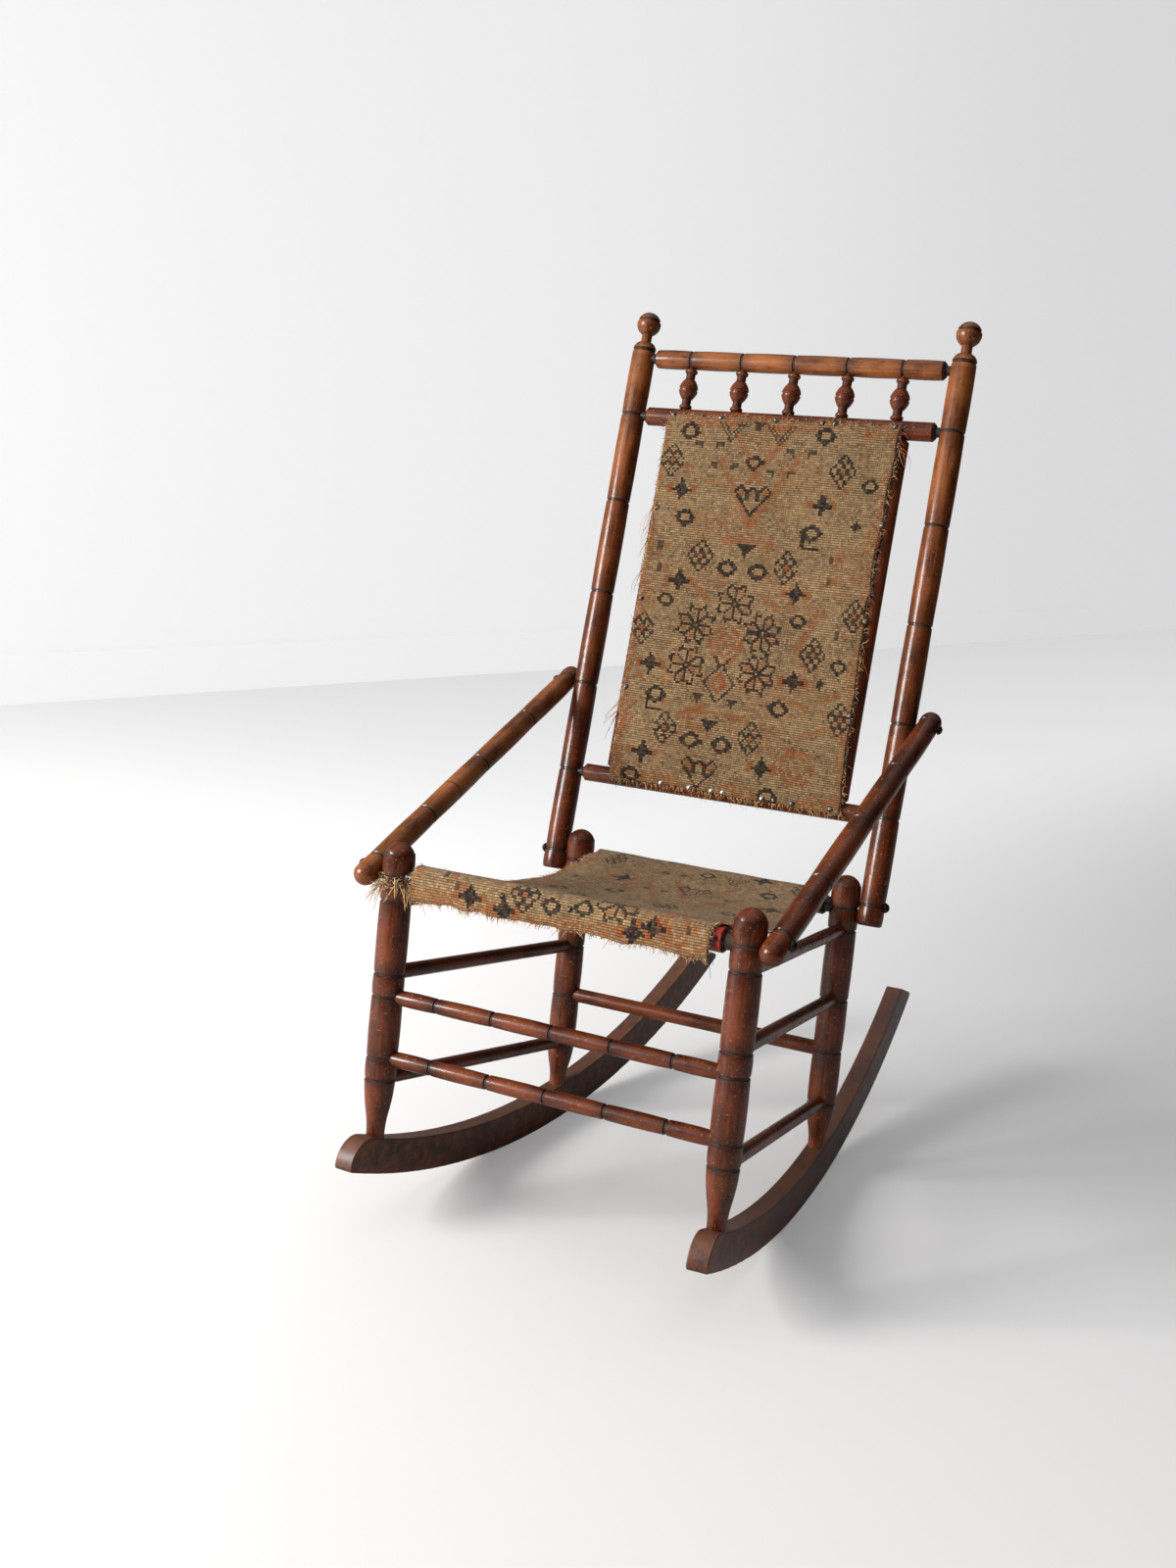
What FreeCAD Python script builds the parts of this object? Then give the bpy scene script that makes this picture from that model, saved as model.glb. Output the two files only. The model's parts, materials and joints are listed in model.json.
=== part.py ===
"""Victorian turned rocking chair with a carpet seat and back, in millimetres.

Front is -Y, up is +Z, and the chair stands on Z = 0 with its box centred on the origin.
The legs, rails and rockers are drawn in the leg frame, whose Y runs square to the legs
towards the back and whose Z runs up along the legs. The stance turns that frame by the
chair's lean at rest. The back frame leans further and starts at the pivot screws.
"""
import FreeCAD, Part
import math
import os

import Sketcher

SIDES = (("left", 1), ("right", -1))

SIZES = (
    ("lean_angle", 4.5, "lean of the legs when the chair stands at rest, degrees"),
    ("front_leg_reach", 185.5, "middle plane to a front leg's axis"),
    ("rear_leg_reach", 161.5, "middle plane to a rear leg's axis"),
    ("leg_spacing", 356, "front legs to rear legs, square to the legs"),
    ("leg_diameter", 32, "a leg at the middle of a segment"),
    ("node_waist", 0.5, "how much thinner a turned piece is beside its nodes, on the radius"),
    ("node_width", 3.6, "width of the groove turned at a node"),
    ("node_depth", 1, "depth of that groove"),
    ("leg_dome_height", 11, "domed top of a leg"),
    ("leg_dome_step", 0.7, "scored step under the dome"),
    ("front_rail_height", 256, "front seat rail"),
    ("front_crown_rise", 34, "front seat rail up to the top of a front leg"),
    ("front_middle_height", 158, "middle side stretcher at the front leg"),
    ("front_lower_height", 73, "lower front stretcher"),
    ("stretcher_stagger", 22.5, "how far the sticks that meet in a front leg miss each other"),
    ("rear_rail_height", 240, "rear seat rail"),
    ("rear_crown_rise", 35, "rear seat rail up to the top of a rear leg"),
    ("side_rail_drop", 24.5, "front or rear seat rail down to the seat's side rails"),
    ("rear_middle_height", 138, "middle side stretcher at the rear leg"),
    ("rear_stretcher_height", 80, "rear stretcher"),
    ("rear_bottom_height", 22, "lower side stretcher at the rear leg"),
    ("foot_diameter", 18.6, "bottom of a leg, where it stands on its rocker"),
    ("foot_neck_diameter", 24, "leg half way down its tapered foot"),
    ("foot_tenon_diameter", 12, "pin under the foot"),
    ("foot_tenon_length", 14, "length of that pin"),
    ("rocker_thickness", 20.5, "thickness of a rocker board"),
    ("rocker_radius", 965, "running edge of a rocker"),
    ("rocker_low_reach", 233, "lowest point of the running edge, behind the front leg"),
    ("rocker_top_drop", 38, "lowest point of the top edge, under the leg frame's zero"),
    ("rocker_board_depth", 37.6, "lowest point of the top edge down to that of the running edge"),
    ("rocker_tightening", 50, "how much smaller the top edge's radius is than the running edge's"),
    ("rocker_top_lead", 9.5, "how far the top edge's lowest point lies before the other one"),
    ("rocker_toe_reach", 49, "front leg's axis forward to the rocker's toe"),
    ("rocker_heel_reach", 747, "front leg's axis back to the rocker's heel, at the bottom"),
    ("rocker_heel_slope", 59, "how far the heel's top corner lies in front of its bottom corner"),
    ("rocker_corner_round", 4, "the rocker's corners, apart from the toe's upper one"),
    ("rocker_edge_round", 1.2, "worn long edges of a rocker"),
    ("rocker_flat_length", 46, "worn flat where the rocker stands at rest"),
    ("seat_rail_diameter", 24, "front and rear seat rails"),
    ("seat_rail_tenon_diameter", 17, "their ends in the legs"),
    ("rail_bevel", 2.6, "bevel at the shoulders of the seat and back rails"),
    ("stretcher_diameter", 16, "front and rear stretchers"),
    ("side_stretcher_diameter", 15, "side stretchers and seat side rails"),
    ("tenon_depth", 13, "how far a stretcher or rail enters a leg or post"),
    ("shoulder_gap", 4.5, "seat or back rail's shoulder to the leg or post"),
    ("node_pitch", 63.5, "spacing of the nodes on the front stretchers and the top rail"),
    ("post_diameter", 28, "back post at the middle of a segment"),
    ("post_lean", 9.6, "lean of the back posts from the legs, degrees"),
    ("pivot_rise", 6.4, "rear seat rail up to the pivot screws of the back"),
    ("pair_gap", 0.4, "running gap between two turned pieces screwed side by side"),
    ("post_tail", 22, "pivot screw down to the post's lower end"),
    ("post_end_round", 3, "rounded lower end of a post"),
    ("lower_rail_station", 95, "pivot screw up to the lower back rail"),
    ("arm_station", 197.5, "pivot screw up to the arm screw"),
    ("post_node_pitch", 109, "arm screw up to a plain node, and on to the next"),
    ("upper_rail_station", 519.4, "pivot screw up to the upper back rail"),
    ("top_rail_rise", 68.6, "upper back rail up to the top rail"),
    ("band_rise", 9, "top rail up to the dark band"),
    ("finial_neck_rise", 10.5, "dark band up to the narrowest place under the finial's ball"),
    ("finial_ball_rise", 21.5, "that place up to the middle of the finial's ball"),
    ("finial_ball_diameter", 28, "the finial's ball"),
    ("finial_neck_diameter", 12, "the neck under it"),
    ("finial_band_rise", 4, "ball's middle up to the groove round it"),
    ("top_rail_diameter", 22, "top rail"),
    ("upper_rail_diameter", 21, "upper back rail"),
    ("lower_rail_diameter", 20, "lower back rail"),
    ("back_rail_tenon_diameter", 11, "ends of the back rails in the posts"),
    ("spindle_bead_diameter", 14.6, "beads at a spindle's ends"),
    ("spindle_neck_diameter", 10.6, "a spindle's necks"),
    ("spindle_bulb_diameter", 22, "a spindle's bulb"),
    ("spindle_pin_diameter", 7, "a spindle's pins in the rails"),
    ("spindle_pin_length", 6, "length of those pins"),
    ("stile_reach", 136, "middle plane to a stile of the back"),
    ("stile_diameter", 19, "stiles behind the carpet's side edges"),
    ("stile_pin_diameter", 9, "a stile's pins in the rails"),
    ("arm_diameter", 24, "an arm at the middle of a segment"),
    ("arm_screw_rise", 6, "front seat rail up to the arm screw on the front leg"),
    ("arm_nose", 28, "arm screw forward to the arm's front end"),
    ("arm_tail", 25, "arm screw back to the arm's rear end"),
    ("arm_dome_height", 9, "domed ends of an arm"),
    ("screw_diameter", 5.6, "shank of the pivot and arm screws"),
    ("screw_head_diameter", 11, "their domed heads"),
    ("screw_head_height", 4.6, "height of those heads"),
    ("screw_grip", 12, "how far a screw bites into a leg or post"),
    ("pin_clearance", 0.1, "radial clearance of a screw or pin in its hole"),
    ("tenon_clearance", 0.15, "radial clearance of a tenon in its mortise"),
    ("end_clearance", 0.5, "room past the end of a tenon, pin or screw"),
    ("cut_overrun", 3, "how far a cutting tool runs past the surface"),
    ("carpet_thickness", 2.4, "the carpet of the seat and back"),
    ("carpet_gap", 0.3, "carpet to the rails that it lies on"),
    ("back_carpet_margin", 4, "a stile's axis out to the side edge of the back's carpet"),
    ("back_carpet_overlap", 3, "the back's carpet past the middle of the rails that hold it"),
    ("seat_front_margin", 24, "a front leg's axis in to the side edge of the seat's carpet"),
    ("seat_rear_margin", 26, "a rear leg's axis in to the side edge of the seat's carpet"),
    ("seat_sag_radius", 660, "sagging seat, seen from the side"),
    ("seat_flap_drop", 17, "front rail's axis down to the carpet's nailed lower edge"),
    ("seat_tuck_drop", 8, "rear rail's axis down to the carpet's edge"),
    ("tack_diameter", 6.4, "domed head of an upholstery tack"),
    ("tack_height", 1.9, "height of that head"),
    ("tack_inset", 5, "middle of a tack to the carpet's edge"),
)

ARM_NODE_SHARES = (0.073, 0.27, 0.506, 0.734, 0.954)
TOP_TACK_SHARES = (-0.957, -0.536, -0.057, 0.336, 0.443, 0.936)
BOTTOM_TACK_SHARES = (-0.507, -0.257, -0.064, 0.035, 0.369, 0.471, 0.621, 0.936)
SIDE_TACK_SHARES = (0.245, 0.49, 0.742)
SEAT_TACK_SHARES = (-0.37, 0.074, 0.568, 0.965)
FOOT_SHOULDER_SHARE = 0.66
FOOT_ANKLE_SHARE = 0.12
BEAD_LENGTH_SHARE = 0.11
NECK_LENGTH_SHARE = 0.13
FINIAL_SHOULDER_SHARE = 0.8
TOE_ROUND_SHARE = 0.72
SIDE_RAIL_NODE_SHARES = (0.58,)
WORKED_OUT = {
    "front_leg_top": "(Sizes.front_rail_height + Sizes.front_crown_rise)",
    "front_side_rail_height": "(Sizes.front_rail_height - Sizes.side_rail_drop)",
    "front_upper_height": "(Sizes.front_middle_height - Sizes.stretcher_stagger)",
    "front_bottom_height": "(Sizes.front_lower_height - Sizes.stretcher_stagger)",
    "rear_leg_top": "(Sizes.rear_rail_height + Sizes.rear_crown_rise)",
    "rear_side_rail_height": "(Sizes.rear_rail_height - Sizes.side_rail_drop)",
    "rocker_low_drop": "(Sizes.rocker_top_drop + Sizes.rocker_board_depth)",
    "rocker_top_radius": "(Sizes.rocker_radius - Sizes.rocker_tightening)",
    "rocker_top_reach": "(Sizes.rocker_low_reach - Sizes.rocker_top_lead)",
    "pivot_height": "(Sizes.rear_rail_height + Sizes.pivot_rise)",
    "first_node_station": "(Sizes.arm_station + Sizes.post_node_pitch)",
    "second_node_station": "(Sizes.arm_station + 2 * Sizes.post_node_pitch)",
    "top_rail_station": "(Sizes.upper_rail_station + Sizes.top_rail_rise)",
    "band_station": "(Sizes.upper_rail_station + Sizes.top_rail_rise + Sizes.band_rise)",
    "arm_front_screw_height": "(Sizes.front_rail_height + Sizes.arm_screw_rise)",
    "back_carpet_half_width": "(Sizes.stile_reach + Sizes.back_carpet_margin)",
    "seat_carpet_front_half_width": "(Sizes.front_leg_reach - Sizes.seat_front_margin)",
    "seat_carpet_rear_half_width": "(Sizes.rear_leg_reach - Sizes.seat_rear_margin)",
}
LEG_NODES = {
    "front": (
        "front_bottom_height",
        "front_lower_height",
        "front_upper_height",
        "front_middle_height",
        "front_side_rail_height",
        "front_rail_height",
    ),
    "rear": (
        "rear_bottom_height",
        "rear_stretcher_height",
        "rear_middle_height",
        "rear_side_rail_height",
        "rear_rail_height",
    ),
}
POST_NODES = (
    "lower_rail_station",
    "arm_station",
    "first_node_station",
    "second_node_station",
    "upper_rail_station",
)

doc = FreeCAD.newDocument("RockingChair")
sheet = doc.addObject("Spreadsheet::Sheet", "Sizes")
stance = doc.addObject("App::Placement", "Stance")
parts = []
local_places = {}
hole_tools = {}


def fill_sheet():
    """Write each size, its name and its meaning into one row of the spreadsheet."""
    for row, (name, number, meaning) in enumerate(SIZES, start=1):
        sheet.set(f"A{row}", name)
        sheet.set(f"B{row}", str(number))
        sheet.set(f"C{row}", meaning)
        sheet.setAlias(f"B{row}", name)
    doc.recompute()


def size(name):
    """The expression that reads a named size, or that works it out from named sizes."""
    return WORKED_OUT.get(name, f"Sizes.{name}")


def half(name):
    """The expression for half a named size, such as a radius."""
    return f"({size(name)} / 2)"


def value(expression):
    """The present number of an expression."""
    number = sheet.evalExpression(str(expression))
    return float(getattr(number, "Value", number))


def at(x="0", y="0", z="0", turn="rotation(vector(0; 0; 1); 0)"):
    """A placement expression: a shift and a rotation."""
    return f"placement(vector({x}; {y}; {z}); {turn})"


def about_x(angle):
    """A rotation expression about the X axis."""
    return f"rotation(vector(1; 0; 0); {angle})"


def toward(x, y, z):
    """A rotation expression that lays the Z axis along a direction."""
    return f"rotation(vector(0; 0; 1); vector({x}; {y}; {z}))"


OUTWARD = {1: "rotation(vector(0; 1; 0); 90)", -1: "rotation(vector(0; 1; 0); -90)"}
LEG_RADIUS = half("leg_diameter")
POST_RADIUS = half("post_diameter")
ARM_RADIUS = half("arm_diameter")
SCREW_RADIUS = half("screw_diameter")
FOOT_RADIUS = half("foot_diameter")
CARPET = size("carpet_thickness")
POST_REACH = f"({size('rear_leg_reach')} + {LEG_RADIUS} + {POST_RADIUS} + {size('pair_gap')})"
ARM_REAR_REACH = f"({POST_REACH} + {POST_RADIUS} + {ARM_RADIUS} + {size('pair_gap')})"
ARM_FRONT_REACH = (
    f"({size('front_leg_reach')} + {LEG_RADIUS} + {ARM_RADIUS} + {size('pair_gap')})"
)
TOE_IN = f"({size('front_leg_reach')} - {size('rear_leg_reach')})"
ROCKER_RUN = f"sqrt({size('leg_spacing')}^2 + {TOE_IN}^2)"
LEG_FRAME = "Stance.Placement * " + at(turn=about_x(f"-{size('lean_angle')}"))
BACK_PLACE = at(
    y=size("leg_spacing"), z=size("pivot_height"), turn=about_x(f"-{size('post_lean')}")
)
BACK_FRAME = f"{LEG_FRAME} * {BACK_PLACE}"
ARM_REAR_Y = f"({size('leg_spacing')} + {size('arm_station')} * sin({size('post_lean')}))"
ARM_REAR_Z = f"({size('pivot_height')} + {size('arm_station')} * cos({size('post_lean')}))"


def plane_of(body, role):
    """The body's own origin plane with this role."""
    return next(item for item in body.Origin.OriginFeatures if item.Role == role)


def bend(start, via, end):
    """An arc through three points, and the numbers of the vertices at its start and its end.

    A sketch keeps every arc anticlockwise, so a clockwise one is entered from its end.
    """
    whole = Part.Circle(start, via, end)
    anticlockwise = (via - start).cross(end - via).z > 0
    first, last = (start, end) if anticlockwise else (end, start)
    turn = [math.atan2(point.y - whole.Center.y, point.x - whole.Center.x) for point in (first, last)]
    if turn[1] <= turn[0]:
        turn[1] += math.tau
    upright = Part.Circle(whole.Center, FreeCAD.Vector(0, 0, 1), whole.Radius)
    vertices = (1, 2) if anticlockwise else (2, 1)
    return Part.ArcOfCircle(upright, *turn), vertices


def outline(body, name, plane, points):
    """A closed sketch on one of the body's own planes.

    Each point is (x, y) or (x, y, via x, via y). The edge that arrives at a point is straight,
    or an arc through its via point. Every coordinate is an expression on the sheet.
    """
    sketch = body.newObject("Sketcher::SketchObject", name)
    sketch.AttachmentSupport = [(plane_of(body, plane), "")]
    sketch.MapMode = "FlatFace"
    numbers = [[value(coordinate) for coordinate in point] for point in points]
    corners = [FreeCAD.Vector(number[0], number[1], 0) for number in numbers]
    constraints = []
    bindings = []

    def pin(geometry, vertex, x, y):
        """Hold a vertex at its coordinates, or on the axis where one of them is zero."""
        for kind, expression, axis in (("DistanceX", x, -2), ("DistanceY", y, -1)):
            if expression == "0":
                constraints.append(Sketcher.Constraint("PointOnObject", geometry, vertex, axis))
            else:
                bindings.append((len(constraints), expression))
                number = value(expression)
                constraints.append(Sketcher.Constraint(kind, geometry, vertex, number))

    ends = []
    for index, number in enumerate(numbers):
        start = corners[index - 1]
        edge, vertices = Part.LineSegment(start, corners[index]), (1, 2)
        if len(number) == 4:
            edge, vertices = bend(start, FreeCAD.Vector(number[2], number[3], 0), corners[index])
        sketch.addGeometry(edge)
        ends.append(vertices)
    for index, point in enumerate(points):
        after = (index + 1) % len(points)
        constraints.append(
            Sketcher.Constraint("Coincident", index, ends[index][1], after, ends[after][0])
        )
        pin(index, ends[index][1], point[0], point[1])
        if len(point) == 4:
            via = Part.Point(FreeCAD.Vector(numbers[index][2], numbers[index][3], 0))
            mark = sketch.addGeometry(via, True)
            constraints.append(Sketcher.Constraint("PointOnObject", mark, 1, index))
            pin(mark, 1, point[2], point[3])
    sketch.addConstraint(constraints)
    for index, expression in bindings:
        sketch.setExpression(f"Constraints[{index}]", expression)
    return sketch


def turned(name, points, place=at()):
    """A piece turned on a lathe: an outline of (radius, station) spun about its own Z axis."""
    body = doc.addObject("PartDesign::Body", name)
    sketch = outline(body, name + "_outline", "XZ_Plane", points)
    spin = body.newObject("PartDesign::Revolution", name + "_turning")
    spin.Profile = sketch
    spin.ReferenceAxis = (sketch, ["V_Axis"])
    spin.Angle = 360
    body.Tip = spin
    local_places[body.Name] = place
    body.setExpression("Placement", place)
    return body


def drill(label, place, radius, depth):
    """Note a round hole along the place's Z axis for the piece with this label."""
    tool = doc.addObject("Part::Cylinder", label + "_drill")
    tool.setExpression("Radius", radius)
    tool.setExpression("Height", depth)
    tool.setExpression("Placement", place)
    hole_tools.setdefault(label, []).append(tool)


def keep(label, solid, frame):
    """Finish a piece: cut the holes noted for it, put it in its frame and list it."""
    tools = hole_tools.get(label, [])
    for tool in tools:
        cut = doc.addObject("Part::Cut", label + "_cut")
        cut.Base = solid
        cut.Tool = tool
        solid = cut
    if tools:
        solid.setExpression("Placement", frame)
    else:
        solid.setExpression("Placement", f"{frame} * {local_places[solid.Name]}")
    solid.Label = label
    parts.append(solid)


def keep_group(label, solids, frame):
    """Finish several like solids as one piece."""
    group = doc.addObject("Part::Compound", label)
    group.Links = solids
    group.setExpression("Placement", frame)
    group.Label = label
    parts.append(group)


def node(station, radius):
    """The four corners of the groove turned at a node, from below it to above it."""
    width = size("node_width")
    edge = f"({radius} - {size('node_waist')})"
    floor = f"({edge} - {size('node_depth')})"
    return [
        (edge, f"({station} - {width} / 2)"),
        (floor, f"({station} - {width} / 4)"),
        (floor, f"({station} + {width} / 4)"),
        (edge, f"({station} + {width} / 2)"),
    ]


def swelled(points, radius, end):
    """Add a point reached by a gentle arc that is full radius half way along."""
    points.append((end[0], end[1], radius, f"(({points[-1][1]} + {end[1]}) / 2)"))


def culm(points, stations, radius, end):
    """Add bamboo segments: a groove at each station, with a swelled stretch before it.

    With no stations the piece is plain, and runs straight to its end.
    """
    for station in stations:
        corners = node(station, radius)
        swelled(points, radius, corners[0])
        points.extend(corners[1:])
    if stations:
        swelled(points, radius, end)
    else:
        points.append(end)


def end_radius(radius, stations):
    """Radius at the ends of a stick: one with nodes tapers a little, a plain one doesn't."""
    return f"({radius} - {size('node_waist')})" if stations else radius


def dome(points, foot_radius, height, top):
    """Close a turned outline with a dome that ends on the axis at the top station."""
    via = f"sqrt(({foot_radius})^2 / 2 + ({height})^2 / 4)"
    points.append(("0", top, via, f"({top} - ({height}) / 2)"))


def stick(name, place, length, radius, nodes=(), shoulder=None):
    """A turned rail or stretcher along its own Z axis.

    The shoulder is (tenon radius, where the shoulder stands, bevel). Without one the stick
    goes into its mortises as thick as it is.
    """
    thin = end_radius(radius, nodes)
    if shoulder:
        tenon, inset, bevel = shoulder
        rim = f"({thin} - {bevel})"
        points = [("0", "0"), (tenon, "0"), (tenon, inset), (rim, inset)]
        points.append((thin, f"({inset} + {bevel})"))
        culm(points, nodes, radius, (thin, f"({length} - {inset} - {bevel})"))
        points.append((rim, f"({length} - {inset})"))
        points.append((tenon, f"({length} - {inset})"))
        points.append((tenon, length))
    else:
        depth = size("tenon_depth")
        points = [("0", "0"), (thin, "0"), (thin, depth)]
        culm(points, nodes, radius, (thin, f"({length} - {depth})"))
        points.append((thin, length))
    points.append(("0", length))
    return turned(name, points, place)


def mortise_pair(labels, place, length, radius):
    """Note the two holes that a stick's ends enter, one in each of two pieces."""
    hole = f"({radius} + {size('tenon_clearance')})"
    past = size("end_clearance")
    overrun = size("cut_overrun")
    depth = f"({size('tenon_depth')} + {overrun} + {past})"
    drill(labels[0], f"{place} * {at(z='-' + past)}", hole, depth)
    start = f"({length} - {size('tenon_depth')} - {overrun})"
    drill(labels[1], f"{place} * {at(z=start)}", hole, depth)


def cross_stick(label, carriers, reach, carrier_radius, frame, y, z, radius, nodes, shoulder):
    """A rail that runs straight across, from the right carrier to the left one."""
    span = f"({reach} - {carrier_radius} + {size('tenon_depth')})"
    length = f"(2 * {span})"
    place = at(f"-{span}", y, z, OUTWARD[1])
    stations = [f"({span} + {offset})" for offset in nodes]
    tenon = shoulder[0] if shoulder else end_radius(radius, nodes)
    mortise_pair([f"{carriers}_right", f"{carriers}_left"], place, length, tenon)
    return stick(label + "_turned", place, length, radius, stations, shoulder)


def node_offsets():
    """Offsets of the five nodes of a front stretcher or of the top rail from its middle."""
    return [f"({count}) * {size('node_pitch')}" for count in (-2, -1, 0, 1, 2)]


def make_base_rails():
    """The seat rails and the stretchers that run across between the legs."""
    inset = f"({size('tenon_depth')} + {size('shoulder_gap')})"
    shouldered = (half("seat_rail_tenon_diameter"), inset, size("rail_bevel"))
    thick = half("seat_rail_diameter")
    slim = half("stretcher_diameter")
    front = ("front_leg", size("front_leg_reach"), "0")
    rear = ("rear_leg", size("rear_leg_reach"), size("leg_spacing"))
    rows = (
        ("front_seat_rail", front, "front_rail_height", thick, (), shouldered),
        ("rear_seat_rail", rear, "rear_rail_height", thick, (), shouldered),
        ("upper_front_stretcher", front, "front_upper_height", slim, node_offsets(), None),
        ("lower_front_stretcher", front, "front_lower_height", slim, node_offsets(), None),
        ("rear_stretcher", rear, "rear_stretcher_height", slim, (), None),
    )
    for label, (carriers, reach, y), height, radius, nodes, shoulder in rows:
        rail = cross_stick(
            label, carriers, reach, LEG_RADIUS, LEG_FRAME, y, size(height), radius, nodes, shoulder
        )
        keep(label, rail, LEG_FRAME)


def make_side_sticks():
    """The seat side rails and the side stretchers, from each front leg back to a rear leg."""
    rows = (
        ("seat_side_rail", "front_side_rail_height", "rear_side_rail_height", SIDE_RAIL_NODE_SHARES),
        ("middle_side_stretcher", "front_middle_height", "rear_middle_height", ()),
        ("lower_side_stretcher", "front_bottom_height", "rear_bottom_height", ()),
    )
    radius = half("side_stretcher_diameter")
    inset = f"({LEG_RADIUS} - {size('tenon_depth')})"
    for side, sign in SIDES:
        for name, front_height, rear_height, shares in rows:
            dx = f"(-{sign} * {TOE_IN})"
            dz = f"({size(rear_height)} - {size(front_height)})"
            length = f"(sqrt({ROCKER_RUN}^2 + {dz}^2) - 2 * {inset})"
            turn = toward(dx, size("leg_spacing"), dz)
            start = at(f"{sign} * {size('front_leg_reach')}", "0", size(front_height), turn)
            place = f"{start} * {at(z=inset)}"
            label = f"{name}_{side}"
            stations = [f"({share} * {length})" for share in shares]
            rail = stick(label + "_turned", place, length, radius, stations)
            tenon = end_radius(radius, stations)
            mortise_pair([f"front_leg_{side}", f"rear_leg_{side}"], place, length, tenon)
            keep(label, rail, LEG_FRAME)


def edge_height(reach, edge):
    """Height in the leg frame of a rocker's low or top edge at a reach behind the front leg."""
    radius = size("rocker_radius" if edge == "low" else "rocker_top_radius")
    middle = size(f"rocker_{edge}_reach")
    drop = size(f"rocker_{edge}_drop")
    return f"({radius} - {drop} - sqrt({radius}^2 - (({reach}) - {middle})^2))"


def foot_level(row):
    """Height of a foot's bottom: the lowest place of the rocker's top edge under the foot."""
    if row == "front":
        return edge_height(FOOT_RADIUS, "top")
    return edge_height(f"{ROCKER_RUN} - {FOOT_RADIUS}", "top")


def make_leg(row, side, sign):
    """A leg: tapered foot, bamboo segments and a domed top over a scored step."""
    label = f"{row}_leg_{side}"
    reach = f"({sign} * {size(row + '_leg_reach')})"
    y = "0" if row == "front" else size("leg_spacing")
    floor = foot_level(row)
    stations = [f"({size(name)} - {floor})" for name in LEG_NODES[row]]
    neck = half("foot_neck_diameter")
    lowest = node(stations[0], LEG_RADIUS)
    height = lowest[0][1]
    ankle = f"({FOOT_RADIUS} + ({neck} - {FOOT_RADIUS}) * {FOOT_ANKLE_SHARE})"
    shoulder = f"({neck} + ({lowest[0][0]} - {neck}) * {FOOT_SHOULDER_SHARE})"
    points = [
        ("0", "0"),
        (FOOT_RADIUS, "0"),
        (neck, f"({height} / 2)", ankle, f"({height} / 4)"),
        (*lowest[0], shoulder, f"({height} * 3 / 4)"),
        *lowest[1:],
    ]
    crown = f"({size(row + '_leg_top')} - {floor})"
    ridge = f"({crown} - {size('leg_dome_height')})"
    thin = f"({LEG_RADIUS} - {size('node_waist')})"
    step = f"({thin} - {size('leg_dome_step')})"
    culm(points, stations[1:], LEG_RADIUS, (thin, ridge))
    points.append((step, ridge))
    dome(points, step, size("leg_dome_height"), crown)
    body = turned(label + "_turned", points, at(reach, y, floor))
    keep(label, with_pin(label, body, side, sign, reach, y, floor), LEG_FRAME)


def with_pin(label, body, side, sign, reach, y, floor):
    """Cope a leg's foot to the curve of its rocker and add the pin that enters the rocker."""
    radius = size("rocker_top_radius")
    curve = doc.addObject("Part::Cylinder", label + "_curve")
    curve.setExpression("Radius", radius)
    curve.setExpression("Height", f"(2 * {size('leg_diameter')})")
    centre = at("0", size("rocker_top_reach"), f"({radius} - {size('rocker_top_drop')})")
    across = at(f"-{size('leg_diameter')}", turn=OUTWARD[1])
    curve.setExpression("Placement", f"{rocker_place(sign)} * {centre} * {across}")
    coped = doc.addObject("Part::Common", label + "_coped")
    coped.Base = body
    coped.Tool = curve
    depth = size("foot_tenon_length")
    radius = half("foot_tenon_diameter")
    pin = doc.addObject("Part::Cylinder", label + "_pin")
    pin.setExpression("Radius", radius)
    pin.setExpression("Height", f"({depth} + {FOOT_RADIUS})")
    pin.setExpression("Placement", at(reach, y, f"({floor} - {depth})"))
    joined = doc.addObject("Part::Fuse", label + "_joined")
    joined.Base = coped
    joined.Tool = pin
    past = size("end_clearance")
    hole = f"({radius} + {size('tenon_clearance')})"
    start = at(reach, y, f"({floor} - {depth} - {past})")
    drill(f"rocker_{side}", start, hole, f"({depth} + {past} + {FOOT_RADIUS})")
    return joined


def rocker_place(sign):
    """Where a rocker's own frame lies: under the front leg, turned in towards the back."""
    turn = f"rotation(vector(0; 0; 1); {sign} * atan({TOE_IN} / {size('leg_spacing')}))"
    return at(f"{sign} * {size('front_leg_reach')}", "0", "0", turn)


def corner_edges(shape, thickness):
    """Names of a flat board's straight edges across its thickness, in the outline's order."""
    names = []
    for number, edge in enumerate(shape.Edges, start=1):
        box = edge.BoundBox
        if box.XLength > thickness / 2 and box.YLength + box.ZLength < thickness / 2:
            names.append((f"Edge{number}", box.Center))
    return names


def rim_edges(shape):
    """Names of the edges round a board's two flat sides."""
    names = []
    for number, edge in enumerate(shape.Edges, start=1):
        box = edge.BoundBox
        if box.XLength < max(box.YLength, box.ZLength) / 2:
            names.append(f"Edge{number}")
    return names


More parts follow.
